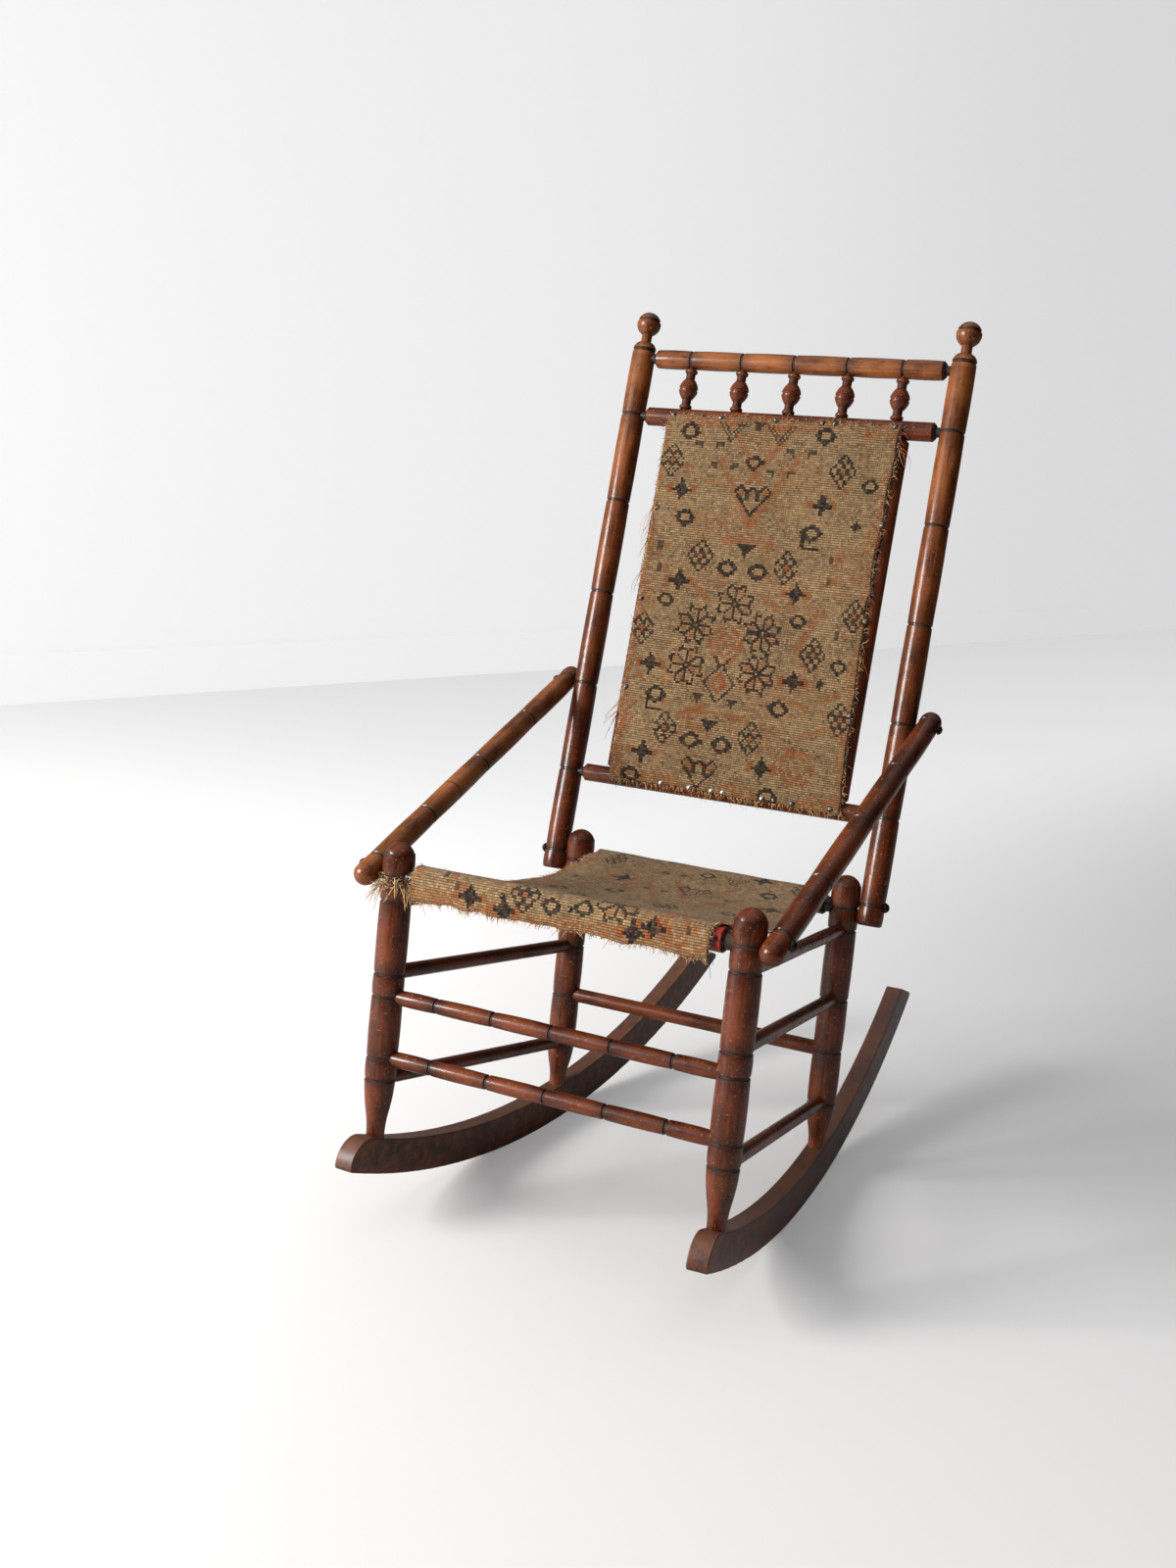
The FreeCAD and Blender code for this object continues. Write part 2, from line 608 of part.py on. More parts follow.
def make_rocker(side, sign):
    """A rocker board: two arcs, a rounded toe, an eased heel and a worn flat at rest."""
    label = f"rocker_{side}"
    body = doc.addObject("PartDesign::Body", label + "_board")
    toe = f"(-{size('rocker_toe_reach')})"
    heel = size("rocker_heel_reach")
    heel_top = f"({heel} - {size('rocker_heel_slope')})"
    low_middle = f"(({toe} + {heel}) / 2)"
    top_middle = f"(({toe} + {heel_top}) / 2)"
    points = [
        (toe, edge_height(toe, "low")),
        (heel, edge_height(heel, "low"), low_middle, edge_height(low_middle, "low")),
        (heel_top, edge_height(heel_top, "top")),
        (toe, edge_height(toe, "top"), top_middle, edge_height(top_middle, "top")),
    ]
    sketch = outline(body, label + "_outline", "YZ_Plane", points)
    pad = body.newObject("PartDesign::Pad", label + "_pad")
    pad.Profile = sketch
    pad.setExpression("Length", size("rocker_thickness"))
    pad.SideType = "Symmetric"
    body.Tip = pad
    doc.recompute()
    corners = corner_edges(pad.Shape, value(size("rocker_thickness")))
    nose = min(corners, key=lambda item: item[1].y - item[1].z)
    others = [item for item in corners if item is not nose]
    feature = body.newObject("PartDesign::Fillet", label + "_toe_round")
    feature.Base = (pad, [nose[0]])
    toe_height = f"({edge_height(toe, 'top')} - {edge_height(toe, 'low')})"
    feature.setExpression("Radius", f"({toe_height} * {TOE_ROUND_SHARE})")
    body.Tip = feature
    doc.recompute()
    places = [item[1] for item in others]
    edges = [
        name for name, middle in corner_edges(feature.Shape, value(size("rocker_thickness")))
        if min(middle.distanceToPoint(place) for place in places) < value(size("node_depth"))
    ]
    fillet = body.newObject("PartDesign::Fillet", f"{label}_corner_rounds")
    fillet.Base = (feature, edges)
    fillet.setExpression("Radius", size("rocker_corner_round"))
    body.Tip = fillet
    doc.recompute()
    worn = body.newObject("PartDesign::Fillet", f"{label}_edge_rounds")
    worn.Base = (fillet, rim_edges(fillet.Shape))
    worn.setExpression("Radius", size("rocker_edge_round"))
    body.Tip = worn
    body.setExpression("Placement", rocker_place(sign))
    flat = doc.addObject("Part::Box", label + "_flat")
    depth = size("cut_overrun")
    width = f"({size('rocker_flat_length')} * 2)"
    length = f"({size('front_leg_reach')} + {size('rocker_thickness')})"
    flat.setExpression("Length", length)
    flat.setExpression("Width", width)
    flat.setExpression("Height", depth)
    middle_y = f"({size('rocker_low_reach')} * cos(atan({TOE_IN} / {size('leg_spacing')})))"
    middle_z = f"({size('rocker_radius')} - {size('rocker_low_drop')})"
    below = f"sqrt({size('rocker_radius')}^2 - ({half('rocker_flat_length')})^2)"
    centre = at("0", middle_y, middle_z, about_x(size("lean_angle")))
    corner_x = "0" if sign > 0 else f"-{length}"
    corner = at(corner_x, f"-({width} / 2)", f"-({below} + {depth})")
    flat.setExpression("Placement", f"{centre} * {corner}")
    hole_tools.setdefault(label, []).append(flat)
    keep(label, body, LEG_FRAME)


def post_outline():
    """A back post from its rounded lower end to its ball finial."""
    tail = size("post_tail")
    thin = f"({POST_RADIUS} - {size('node_waist')})"
    ease = size("post_end_round")
    points = [("0", "0"), (f"({thin} - {ease})", "0")]
    ease_via = f"({thin} - {ease} * (1 - sqrt(0.5)))"
    points.append((thin, ease, ease_via, f"({ease} * (1 - sqrt(0.5)))"))
    stations = ["0"] + [size(name) for name in POST_NODES]
    lifted = [f"({tail} + {station})" for station in stations]
    band = f"({tail} + {size('band_station')})"
    corners = node(band, POST_RADIUS)
    culm(points, lifted, POST_RADIUS, corners[0])
    points.extend(corners[1:])
    ball = half("finial_ball_diameter")
    neck = half("finial_neck_diameter")
    waist = f"({band} + {size('finial_neck_rise')})"
    centre = f"({waist} + {size('finial_ball_rise')})"
    dome_foot = corners[-1][1]
    slope_via = f"({neck} + ({thin} - {neck}) * {FINIAL_SHOULDER_SHARE})"
    points.append((neck, waist, slope_via, f"(({dome_foot} + {waist}) / 2)"))

    def on_ball(rise):
        """Radius of the ball at a rise above its middle."""
        return f"sqrt({ball}^2 - ({rise})^2)"

    foot = f"sqrt({ball}^2 - {neck}^2)"
    width = size("node_width")
    band_rise = size("finial_band_rise")
    low = f"({band_rise} - {width} / 2)"
    high = f"({band_rise} + {width} / 2)"
    middle = f"(({low} - {foot}) / 2)"
    points.append((neck, f"({centre} - {foot})"))
    points.append((on_ball(low), f"({centre} + {low})", on_ball(middle), f"({centre} + {middle})"))
    floor = f"({on_ball(high)} - {size('node_depth')})"
    points.append((floor, f"({centre} + {low})"))
    points.append((floor, f"({centre} + {high})"))
    points.append((on_ball(high), f"({centre} + {high})"))
    cap = f"(({high} + {ball}) / 2)"
    points.append(("0", f"({centre} + {ball})", on_ball(cap), f"({centre} + {cap})"))
    return points


def make_back():
    """The leaning back: posts, three rails, five spindles and two stiles."""
    inset = f"({size('tenon_depth')} + {size('shoulder_gap')})"
    shouldered = (half("back_rail_tenon_diameter"), inset, size("rail_bevel"))
    rails = (
        ("lower_back_rail", "lower_rail_station", "lower_rail_diameter", ()),
        ("upper_back_rail", "upper_rail_station", "upper_rail_diameter", ()),
        ("top_rail", "top_rail_station", "top_rail_diameter", node_offsets()),
    )
    make_spindles()
    make_stiles()
    for label, station, diameter, nodes in rails:
        rail = cross_stick(
            label, "post", POST_REACH, POST_RADIUS, BACK_FRAME, "0", size(station),
            half(diameter), nodes, shouldered,
        )
        keep(label, rail, BACK_FRAME)
    for side, sign in SIDES:
        start = at(f"({sign} * {POST_REACH})", "0", f"-{size('post_tail')}")
        post = turned(f"post_{side}_turned", post_outline(), start)
        keep(f"post_{side}", post, BACK_FRAME)


def rail_top(name):
    """Station of the upper side of a back rail."""
    return f"({size(name + '_station')} + {half(name + '_diameter')})"


def rail_bottom(name):
    """Station of the under side of a back rail."""
    return f"({size(name + '_station')} - {half(name + '_diameter')})"


def make_spindles():
    """Five spindles under the nodes of the top rail: beads, necks and a ringed bulb."""
    low = rail_top("upper_rail")
    high = rail_bottom("top_rail")
    pin = half("spindle_pin_diameter")
    pin_length = size("spindle_pin_length")
    body = f"({high} - {low} - 2 * {size('pin_clearance')})"
    length = f"({body} + 2 * {pin_length})"
    bead = half("spindle_bead_diameter")
    neck = half("spindle_neck_diameter")
    bulb = half("spindle_bulb_diameter")
    bead_end = f"({pin_length} + {body} * {BEAD_LENGTH_SHARE})"
    neck_end = f"({bead_end} + {body} * {NECK_LENGTH_SHARE})"
    middle = f"({length} / 2)"
    bead_middle = f"({pin_length} + {body} * {BEAD_LENGTH_SHARE} / 2)"
    bulb_via = f"(({neck} + {bulb}) / 2 + ({bulb} - {neck}) / 6)"
    ring = node(middle, f"({bulb} + {size('node_waist')})")
    lower = [
        (neck, pin_length),
        (neck, bead_end, bead, bead_middle),
        (neck, neck_end),
        (*ring[0], bulb_via, f"(({neck_end} + {ring[0][1]}) / 2)"),
    ]
    points = [("0", "0"), (pin, "0"), (pin, pin_length), *lower, ring[1], ring[2], ring[3]]
    points.append((neck, f"({length} - {neck_end})", bulb_via,
                   f"({length} - ({neck_end} + {ring[0][1]}) / 2)"))
    points.append((neck, f"({length} - {bead_end})"))
    points.append((neck, f"({length} - {pin_length})", bead, f"({length} - {bead_middle})"))
    points.append((pin, f"({length} - {pin_length})"))
    points.append((pin, length))
    points.append(("0", length))
    start = f"({low} + {size('pin_clearance')} - {pin_length})"
    hole = f"({pin} + {size('pin_clearance')})"
    depth = f"({pin_length} + {size('end_clearance')})"
    for number, offset in enumerate(node_offsets(), start=1):
        spindle = turned(f"spindle_{number}_turned", points, at(f"({offset})", "0", start))
        drill("upper_back_rail", at(f"({offset})", "0", f"({low} - {depth})"), hole,
              f"({depth} + {size('cut_overrun')})")
        drill("top_rail", at(f"({offset})", "0", f"({high} - {size('cut_overrun')})"), hole,
              f"({depth} + {size('cut_overrun')})")
        keep(f"spindle_{number}", spindle, BACK_FRAME)


def make_stiles():
    """Two round stiles between the lower and upper back rails, behind the carpet's edges."""
    low = rail_top("lower_rail")
    high = rail_bottom("upper_rail")
    radius = half("stile_diameter")
    pin = half("stile_pin_diameter")
    pin_length = size("spindle_pin_length")
    gap = size("pin_clearance")
    length = f"({high} - {low} - 2 * {gap} + 2 * {pin_length})"
    start = f"({low} + {gap} - {pin_length})"
    hole = f"({pin} + {gap})"
    depth = f"({pin_length} + {size('end_clearance')})"
    for side, sign in SIDES:
        x = f"({sign} * {size('stile_reach')})"
        stile = stick(
            f"stile_{side}_turned", at(x, "0", start), length, radius, (),
            (pin, pin_length, size("post_end_round")),
        )
        drill("lower_back_rail", at(x, "0", f"({low} - {depth})"), hole,
              f"({depth} + {size('cut_overrun')})")
        drill("upper_back_rail", at(x, "0", f"({high} - {size('cut_overrun')})"), hole,
              f"({depth} + {size('cut_overrun')})")
        keep(f"stile_{side}", stile, BACK_FRAME)


def make_arms():
    """Two straight arms outside the posts and the front legs, with domed ends."""
    dy = ARM_REAR_Y
    dz = f"({ARM_REAR_Z} - {size('arm_front_screw_height')})"
    dx = f"({ARM_REAR_REACH} - {ARM_FRONT_REACH})"
    spacing = f"sqrt({dx}^2 + {dy}^2 + {dz}^2)"
    length = f"({spacing} + {size('arm_nose')} + {size('arm_tail')})"
    thin = f"({ARM_RADIUS} - {size('node_waist')})"
    rise = size("arm_dome_height")
    via = f"sqrt({thin}^2 / 2 + {rise}^2 / 4)"
    points = [("0", "0"), (thin, rise, via, f"({rise} / 2)")]
    stations = [f"({share} * {length})" for share in ARM_NODE_SHARES]
    culm(points, stations, ARM_RADIUS, (thin, f"({length} - {rise})"))
    dome(points, thin, rise, length)
    for side, sign in SIDES:
        turn = toward(f"({sign} * {dx})", dy, dz)
        front = at(f"({sign} * {ARM_FRONT_REACH})", "0", size("arm_front_screw_height"), turn)
        place = f"{front} * {at(z='-' + size('arm_nose'))}"
        arm = turned(f"arm_{side}_turned", points, place)
        keep(f"arm_{side}", arm, LEG_FRAME)


def screw(name, place, shank):
    """A round-headed screw with its tip at the place, its head further along Z."""
    head = half("screw_head_diameter")
    rise = size("screw_head_height")
    points = [("0", "0"), (SCREW_RADIUS, "0"), (SCREW_RADIUS, shank), (head, shank)]
    dome(points, head, rise, f"({shank} + {rise})")
    return turned(name, points, place)


def make_screws():
    """The pivot screws of the back, and the two screws that hold each arm."""
    grip = size("screw_grip")
    gap = size("pair_gap")
    past = size("end_clearance")
    overrun = size("cut_overrun")
    hole = f"({SCREW_RADIUS} + {size('pin_clearance')})"
    pivots = []
    backs = []
    for side, sign in SIDES:
        turn = OUTWARD[sign]
        leg_face = f"({size('rear_leg_reach')} + {LEG_RADIUS})"
        tip = f"({leg_face} - {grip})"
        shank = f"({grip} + {size('post_diameter')} + 2 * {gap})"
        place = at(f"({sign} * {tip})", size("leg_spacing"), size("pivot_height"), turn)
        pivots.append(screw(f"pivot_screw_{side}", place, shank))
        drill(f"rear_leg_{side}", f"{place} * {at(z='-' + past)}", hole,
              f"({grip} + {past} + {overrun})")
        through = f"({size('post_diameter')} + 2 * {overrun})"
        inner = f"({sign} * ({POST_REACH} - {POST_RADIUS} - {overrun}))"
        drill(f"post_{side}", at(inner, "0", "0", turn), hole, through)
        post_tip = f"({POST_REACH} + {POST_RADIUS} - {grip})"
        arm_shank = f"({grip} + {size('arm_diameter')} + 2 * {gap})"
        place = at(f"({sign} * {post_tip})", "0", size("arm_station"), turn)
        backs.append(screw(f"arm_screw_{side}", place, arm_shank))
        drill(f"post_{side}", f"{place} * {at(z='-' + past)}", hole,
              f"({grip} + {past} + {overrun})")
        arm_through = f"({size('arm_diameter')} + 2 * {overrun})"
        rear_x = f"({sign} * ({ARM_REAR_REACH} - {ARM_RADIUS} - {overrun}))"
        drill(f"arm_{side}", at(rear_x, ARM_REAR_Y, ARM_REAR_Z, turn), hole, arm_through)
        front_x = f"({sign} * ({ARM_FRONT_REACH} - {ARM_RADIUS} - {overrun}))"
        drill(f"arm_{side}", at(front_x, "0", size("arm_front_screw_height"), turn), hole,
              arm_through)
        front_face = f"({size('front_leg_reach')} + {LEG_RADIUS})"
        drill(f"front_leg_{side}",
              at(f"({sign} * ({front_face} - {grip}))", "0", size("arm_front_screw_height"), turn),
              hole, f"({grip} + {overrun})")
        front_tip = f"({front_face} + {gap})"
        place = at(f"({sign} * {front_tip})", "0", size("arm_front_screw_height"), turn)
        front = screw(f"front_arm_screw_{side}_turned", place, f"({size('arm_diameter')} + {gap})")
        keep(f"front_arm_screw_{side}", front, LEG_FRAME)
    keep_group("pivot_screws", pivots, LEG_FRAME)
    keep_group("arm_screws", backs, BACK_FRAME)


BACK_CARPET_FACE = (
    f"({half('upper_rail_diameter')} + {size('carpet_gap')} + {CARPET})"
)


def make_back_carpet():
    """The back's carpet: a flat panel nailed to the front of the rails and stiles."""
    panel = doc.addObject("Part::Box", "back_carpet_panel")
    bottom = f"({size('lower_rail_station')} - {size('back_carpet_overlap')})"
    top = f"({size('upper_rail_station')} + {size('back_carpet_overlap')})"
    panel.setExpression("Length", f"(2 * {size('back_carpet_half_width')})")
    panel.setExpression("Width", CARPET)
    panel.setExpression("Height", f"({top} - {bottom})")
    place = at(f"(-{size('back_carpet_half_width')})", f"(-{BACK_CARPET_FACE})", bottom)
    local_places[panel.Name] = place
    keep("back_carpet", panel, BACK_FRAME)


def seat_outline():
    """Side view of the seat's carpet: nailed flap, front wrap, sag, rear wrap and tuck."""
    wrap = f"({half('seat_rail_diameter')} + {size('carpet_gap')})"
    outer = f"({wrap} + {CARPET})"
    y0 = "0"
    z0 = size("front_rail_height")
    y1 = size("leg_spacing")
    z1 = size("rear_rail_height")
    drop = f"({z0} - {z1})"
    apart = f"sqrt({y1}^2 + {drop}^2)"
    sag = size("seat_sag_radius")
    rise = f"sqrt(({sag} + {wrap})^2 - ({apart} / 2)^2)"
    centre_y = f"({y1} / 2 + {rise} * {drop} / {apart})"
    centre_z = f"(({z0} + {z1}) / 2 + {rise} * {y1} / {apart})"
    reach = f"({sag} + {wrap})"
    upper = f"({sag} - {CARPET})"

    def toward_sag(y, z, radius):
        """The point on a circle round a rail that faces the sag's centre."""
        return (
            f"({y} + {radius} * ({centre_y} - {y}) / {reach})",
            f"({z} + {radius} * ({centre_z} - {z}) / {reach})",
        )

    def on_sag(radius):
        """The middle of the sag, on the line between its centre and the rails' middle."""
        return (
            f"({centre_y} - {radius} * {drop} / {apart})",
            f"({centre_z} - {radius} * {y1} / {apart})",
        )

    diagonal = "sqrt(0.5)"
    low = f"({z0} - {size('seat_flap_drop')})"
    tuck = f"({z1} - {size('seat_tuck_drop')})"
    return [
        (f"(-{wrap})", low),
        (f"(-{wrap})", z0),
        (*toward_sag(y0, z0, wrap), f"(-{wrap} * {diagonal})", f"({z0} + {wrap} * {diagonal})"),
        (*toward_sag(y1, z1, wrap), *on_sag(sag)),
        (f"({y1} + {wrap})", z1, f"({y1} + {wrap} * {diagonal})", f"({z1} + {wrap} * {diagonal})"),
        (f"({y1} + {wrap})", tuck),
        (f"({y1} + {outer})", tuck),
        (f"({y1} + {outer})", z1),
        (*toward_sag(y1, z1, outer), f"({y1} + {outer} * {diagonal})",
         f"({z1} + {outer} * {diagonal})"),
        (*toward_sag(y0, z0, outer), *on_sag(upper)),
        (f"(-{outer})", z0, f"(-{outer} * {diagonal})", f"({z0} + {outer} * {diagonal})"),
        (f"(-{outer})", low),
    ]


def make_seat_carpet():
    """The seat's carpet: wrapped over both seat rails and sagging between them."""
    body = doc.addObject("PartDesign::Body", "seat_carpet_sling")
    sketch = outline(body, "seat_carpet_outline", "YZ_Plane", seat_outline())
    pad = body.newObject("PartDesign::Pad", "seat_carpet_pad")
    pad.Profile = sketch
    pad.setExpression("Length", f"(2 * {size('seat_carpet_front_half_width')})")
    pad.SideType = "Symmetric"
    body.Tip = pad
    doc.recompute()
    margin = f"({half('seat_rail_diameter')} + {size('cut_overrun')} + {CARPET})"
    near = size("seat_carpet_front_half_width")
    far = size("seat_carpet_rear_half_width")
    slope = f"(({near} - {far}) / {size('leg_spacing')})"
    rear_y = f"({size('leg_spacing')} + {margin})"
    for side, sign in SIDES:
        corners = [
            (f"({sign} * ({near} + {slope} * {margin}))", f"(-{margin})"),
            (f"({sign} * ({far} - {slope} * {margin}))", rear_y),
            (f"({sign} * ({near} + {margin}))", rear_y),
            (f"({sign} * ({near} + {margin}))", f"(-{margin})"),
        ]
        trim = outline(body, f"seat_carpet_{side}_taper", "XY_Plane", corners)
        pocket = body.newObject("PartDesign::Pocket", f"seat_carpet_{side}_trim")
        pocket.Profile = trim
        pocket.Type = "ThroughAll"
        pocket.Reversed = True
        body.Tip = pocket
    local_places[body.Name] = at()
    keep("seat_carpet", body, LEG_FRAME)


def tack(name, place):
    """A tack's head: a cap of a ball whose flat side lies at the place, facing along Z."""
    rim = half("tack_diameter")
    rise = size("tack_height")
    ball = f"(({rim}^2 + {rise}^2) / (2 * {rise}))"
    head = doc.addObject("Part::Sphere", name)
    head.setExpression("Radius", ball)
    head.setExpression("Angle1", f"asin(1 - {rise} / {ball})")
    head.setExpression("Placement", f"{place} * {at(z=f'({rise} - {ball})')}")
    return head


def make_tacks():
    """The tacks round the back's carpet and along the seat's front flap."""
    facing = about_x("90")
    face = f"(-{BACK_CARPET_FACE})"
    wide = f"({size('back_carpet_half_width')})"
    inset = size("tack_inset")
    low = size("lower_rail_station")
    high = size("upper_rail_station")
    heads = []
    for station, shares in ((high, TOP_TACK_SHARES), (low, BOTTOM_TACK_SHARES)):
        for share in shares:
            place = at(f"({wide} * ({share}))", face, station, facing)
            heads.append(tack("back_tack", place))
    for side, sign in SIDES:
        for share in SIDE_TACK_SHARES:
            station = f"({low} + ({high} - {low}) * {share})"
            place = at(f"({sign} * ({wide} - {inset}))", face, station, facing)
            heads.append(tack("back_tack", place))
    keep_group("back_tacks", heads, BACK_FRAME)
    face = f"({half('seat_rail_diameter')} + {size('carpet_gap')} + {CARPET})"
    tilt = about_x(f"acos({half('tack_diameter')} / {face})")
    heads = []
    for share in SEAT_TACK_SHARES:
        x = f"({size('seat_carpet_front_half_width')} * ({share}))"
        place = f"{at(x, '0', size('front_rail_height'), tilt)} * {at(z=face)}"
        heads.append(tack("seat_tack", place))
    keep_group("seat_tacks", heads, LEG_FRAME)


def stand_on_floor():
    """Move the stance so that the chair's box stands on zero, centred on the origin."""
    box = FreeCAD.BoundBox()
    for part in parts:
        box.add(part.Shape.optimalBoundingBox(False))
    shift = FreeCAD.Vector(-box.Center.x, -box.Center.y, -box.ZMin)
    stance.Placement = FreeCAD.Placement(stance.Placement.Base + shift, FreeCAD.Rotation())


def check():
    """Stop with a message if a feature failed or a piece has no valid solid."""
    for item in doc.Objects:
        if "Invalid" in item.State or "Error" in item.State:
            raise RuntimeError(f"{item.Label}: {item.State}")
    for part in parts:
        if part.Shape.isNull() or not part.Shape.isValid() or not part.Shape.Solids:
            raise RuntimeError(f"{part.Label} has no valid solid")


def main():
    """Build the chair, stand it on the floor and write one file for each piece."""
    fill_sheet()
    make_base_rails()
    make_side_sticks()
    make_screws()
    make_arms()
    make_back()
    for side, sign in SIDES:
        make_leg("front", side, sign)
        make_leg("rear", side, sign)
        make_rocker(side, sign)
    make_back_carpet()
    make_seat_carpet()
    make_tacks()
    doc.recompute()
    stand_on_floor()
    doc.recompute()
    check()
    os.makedirs("parts", exist_ok=True)
    for part in parts:
        part.Shape.exportStep(f"parts/{part.Label}.step")
    print(len(parts), "pieces")


main()
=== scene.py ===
"""Victorian turned rocking chair: varnished turned sticks, worn carpets and a pale room.

Two leaning frames carry every place. The leg frame has Y square to the legs, towards the
back, and Z up along them. The back frame has its zero at the pivot screws, Y behind the
back's plane and Z up along the posts. The carpets are drawn stitch by stitch on a grid of
cells, and their dyes go into a colour attribute of the mesh.
"""
import json
import math

import bpy
import numpy as np
from bpy.props import FloatProperty, FloatVectorProperty, IntProperty, PointerProperty
from mathutils import Matrix, Vector


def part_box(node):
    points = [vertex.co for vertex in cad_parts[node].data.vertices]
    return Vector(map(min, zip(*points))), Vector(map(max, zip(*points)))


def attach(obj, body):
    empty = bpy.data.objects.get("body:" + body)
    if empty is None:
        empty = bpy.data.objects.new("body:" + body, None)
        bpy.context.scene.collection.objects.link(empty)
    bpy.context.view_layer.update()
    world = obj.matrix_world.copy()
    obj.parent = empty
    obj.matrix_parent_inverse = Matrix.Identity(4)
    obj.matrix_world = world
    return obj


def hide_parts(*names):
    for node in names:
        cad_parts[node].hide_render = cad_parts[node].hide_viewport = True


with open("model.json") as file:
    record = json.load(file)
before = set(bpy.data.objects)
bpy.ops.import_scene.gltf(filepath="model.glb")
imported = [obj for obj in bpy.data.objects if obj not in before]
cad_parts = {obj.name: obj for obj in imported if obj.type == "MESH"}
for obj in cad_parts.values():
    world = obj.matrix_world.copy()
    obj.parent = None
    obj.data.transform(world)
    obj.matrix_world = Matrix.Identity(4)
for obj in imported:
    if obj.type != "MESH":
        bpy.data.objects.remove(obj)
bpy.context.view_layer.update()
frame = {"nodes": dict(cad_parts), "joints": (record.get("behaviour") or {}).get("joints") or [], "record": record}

bl_info = {
    "name": "Turned Rocking Chair",
    "version": (1, 0, 0),
    "blender": (4, 5, 0),
    "location": "View3D > Sidebar > Rocking Chair",
    "description": "Finishes a turned rocking chair with varnished wood, worn carpet and a pale room",
    "category": "Object",
}

MM = 0.001
LEG_LEAN = 4.5
BACK_LEAN = LEG_LEAN + 9.6
LEG_SPACING = 356 * MM
PIVOT_HEIGHT = 246.4 * MM
FRONT_RAIL_HEIGHT = 256 * MM
REAR_RAIL_HEIGHT = 240 * MM
RAIL_RADIUS = 12 * MM
CARPET_GAP = 0.3 * MM
DYE = "dye"
STITCHES = "stitches"


def linear(hex_colour):
    """An sRGB hex colour as linear red, green, blue and alpha."""
    text = hex_colour.lstrip("#")
    parts = [int(text[start:start + 2], 16) / 255 for start in (0, 2, 4)]
    return tuple(c / 12.92 if c <= 0.04045 else ((c + 0.055) / 1.055) ** 2.4 for c in parts) + (1.0,)


def colour(name, description, hex_colour):
    """A colour among the settings, with its default as sRGB hex."""
    return FloatVectorProperty(name=name, description=description, subtype="COLOR", size=4,
                               default=linear(hex_colour), min=0, max=1)


def measure(name, description, default, least, digits=5):
    """A length among the settings."""
    return FloatProperty(name=name, description=description, default=default, min=least,
                         unit="LENGTH", precision=digits)


def tipped(vectors, degrees):
    """Vectors of a leaning frame in the world: y' = y cos + z sin and z' = z cos - y sin."""
    vectors = np.asarray(vectors, float)
    angle = math.radians(degrees)
    x, y, z = vectors[..., 0], vectors[..., 1], vectors[..., 2]
    back = y * math.cos(angle) + z * math.sin(angle)
    up = z * math.cos(angle) - y * math.sin(angle)
    return np.stack([x, back, up], axis=-1)


def pivot_place():
    """Middle of the pivot screws, on the chair's middle plane."""
    for joint in frame["joints"]:
        if joint["name"] == "back_fold":
            return np.array([0.0, joint["pos_m"][1], joint["pos_m"][2]])
    raise RuntimeError("the frame has no joint named back_fold")


PIVOT = pivot_place()
LEG_ZERO = PIVOT - tipped((0, LEG_SPACING, PIVOT_HEIGHT), LEG_LEAN)
LEG_UP = tipped((0, 0, 1), LEG_LEAN)
BACK_UP = tipped((0, 0, 1), BACK_LEAN)


def in_leg_frame(points):
    """World places of points given in the leg frame."""
    return tipped(points, LEG_LEAN) + LEG_ZERO


def in_back_frame(points):
    """World places of points given in the back frame."""
    return tipped(points, BACK_LEAN) + PIVOT


def node(tree, kind, options=None, inputs=None):
    """Add a shader node with its options; an input is another node's socket or a value."""
    made = tree.nodes.new(kind)
    for name, value in (options or {}).items():
        setattr(made, name, value)
    for key, value in (inputs or {}).items():
        if isinstance(value, bpy.types.NodeSocket):
            tree.links.new(value, made.inputs[key])
        else:
            made.inputs[key].default_value = value
    return made


def new_material(name):
    """An empty material with its output, and the tree to build it in."""
    material = bpy.data.materials.new(name)
    material.use_nodes = True
    material.node_tree.nodes.clear()
    return material, material.node_tree


def new_piece(name, points, faces, material, body=None, dyes=None, cells=None):
    """A mesh object at the origin, with a colour and a cell place for each face corner.

    Dyes hold one colour for each face and cells one place for each face corner.
    """
    mesh = bpy.data.meshes.new(name)
    mesh.from_pydata(points.reshape(-1, 3).tolist(), [], faces)
    mesh.validate()
    counts = np.empty(len(mesh.polygons), np.int32)
    mesh.polygons.foreach_get("loop_total", counts)
    if dyes is not None:
        colours = np.ones((len(mesh.loops), 4), np.float32)
        colours[:, :3] = np.repeat(dyes, counts, axis=0)
        layer = mesh.color_attributes.new(name=DYE, type="FLOAT_COLOR", domain="CORNER")
        layer.data.foreach_set("color", colours.ravel())
    if cells is not None:
        mesh.uv_layers.new(name=STITCHES).data.foreach_set("uv", cells.astype(np.float32).ravel())
    mesh.materials.append(material)
    mesh.shade_smooth()
    piece = bpy.data.objects.new(name, mesh)
    bpy.context.scene.collection.objects.link(piece)
    if body:
        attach(piece, body)
    return piece


def finish(name, material):
    """Give a piece of the CAD model its material."""
    slots = frame["nodes"][name].data.materials
    slots.clear()
    slots.append(material)


def smooth_noise(shape, cells, seed):
    """Soft noise from -1 to 1 on a grid: seeded random heights joined by cosine blends."""
    heights = np.random.default_rng(seed).uniform(-1, 1, (cells[0] + 2, cells[1] + 2))
    rows = np.linspace(0, cells[0], shape[0])[:, None]
    columns = np.linspace(0, cells[1], shape[1])[None, :]
    row, column = np.floor(rows).astype(int), np.floor(columns).astype(int)
    down = (1 - np.cos(np.pi * (rows - row))) / 2
    across = (1 - np.cos(np.pi * (columns - column))) / 2
    top = heights[row, column] * (1 - across) + heights[row, column + 1] * across
    low = heights[row + 1, column] * (1 - across) + heights[row + 1, column + 1] * across
    return top * (1 - down) + low * down


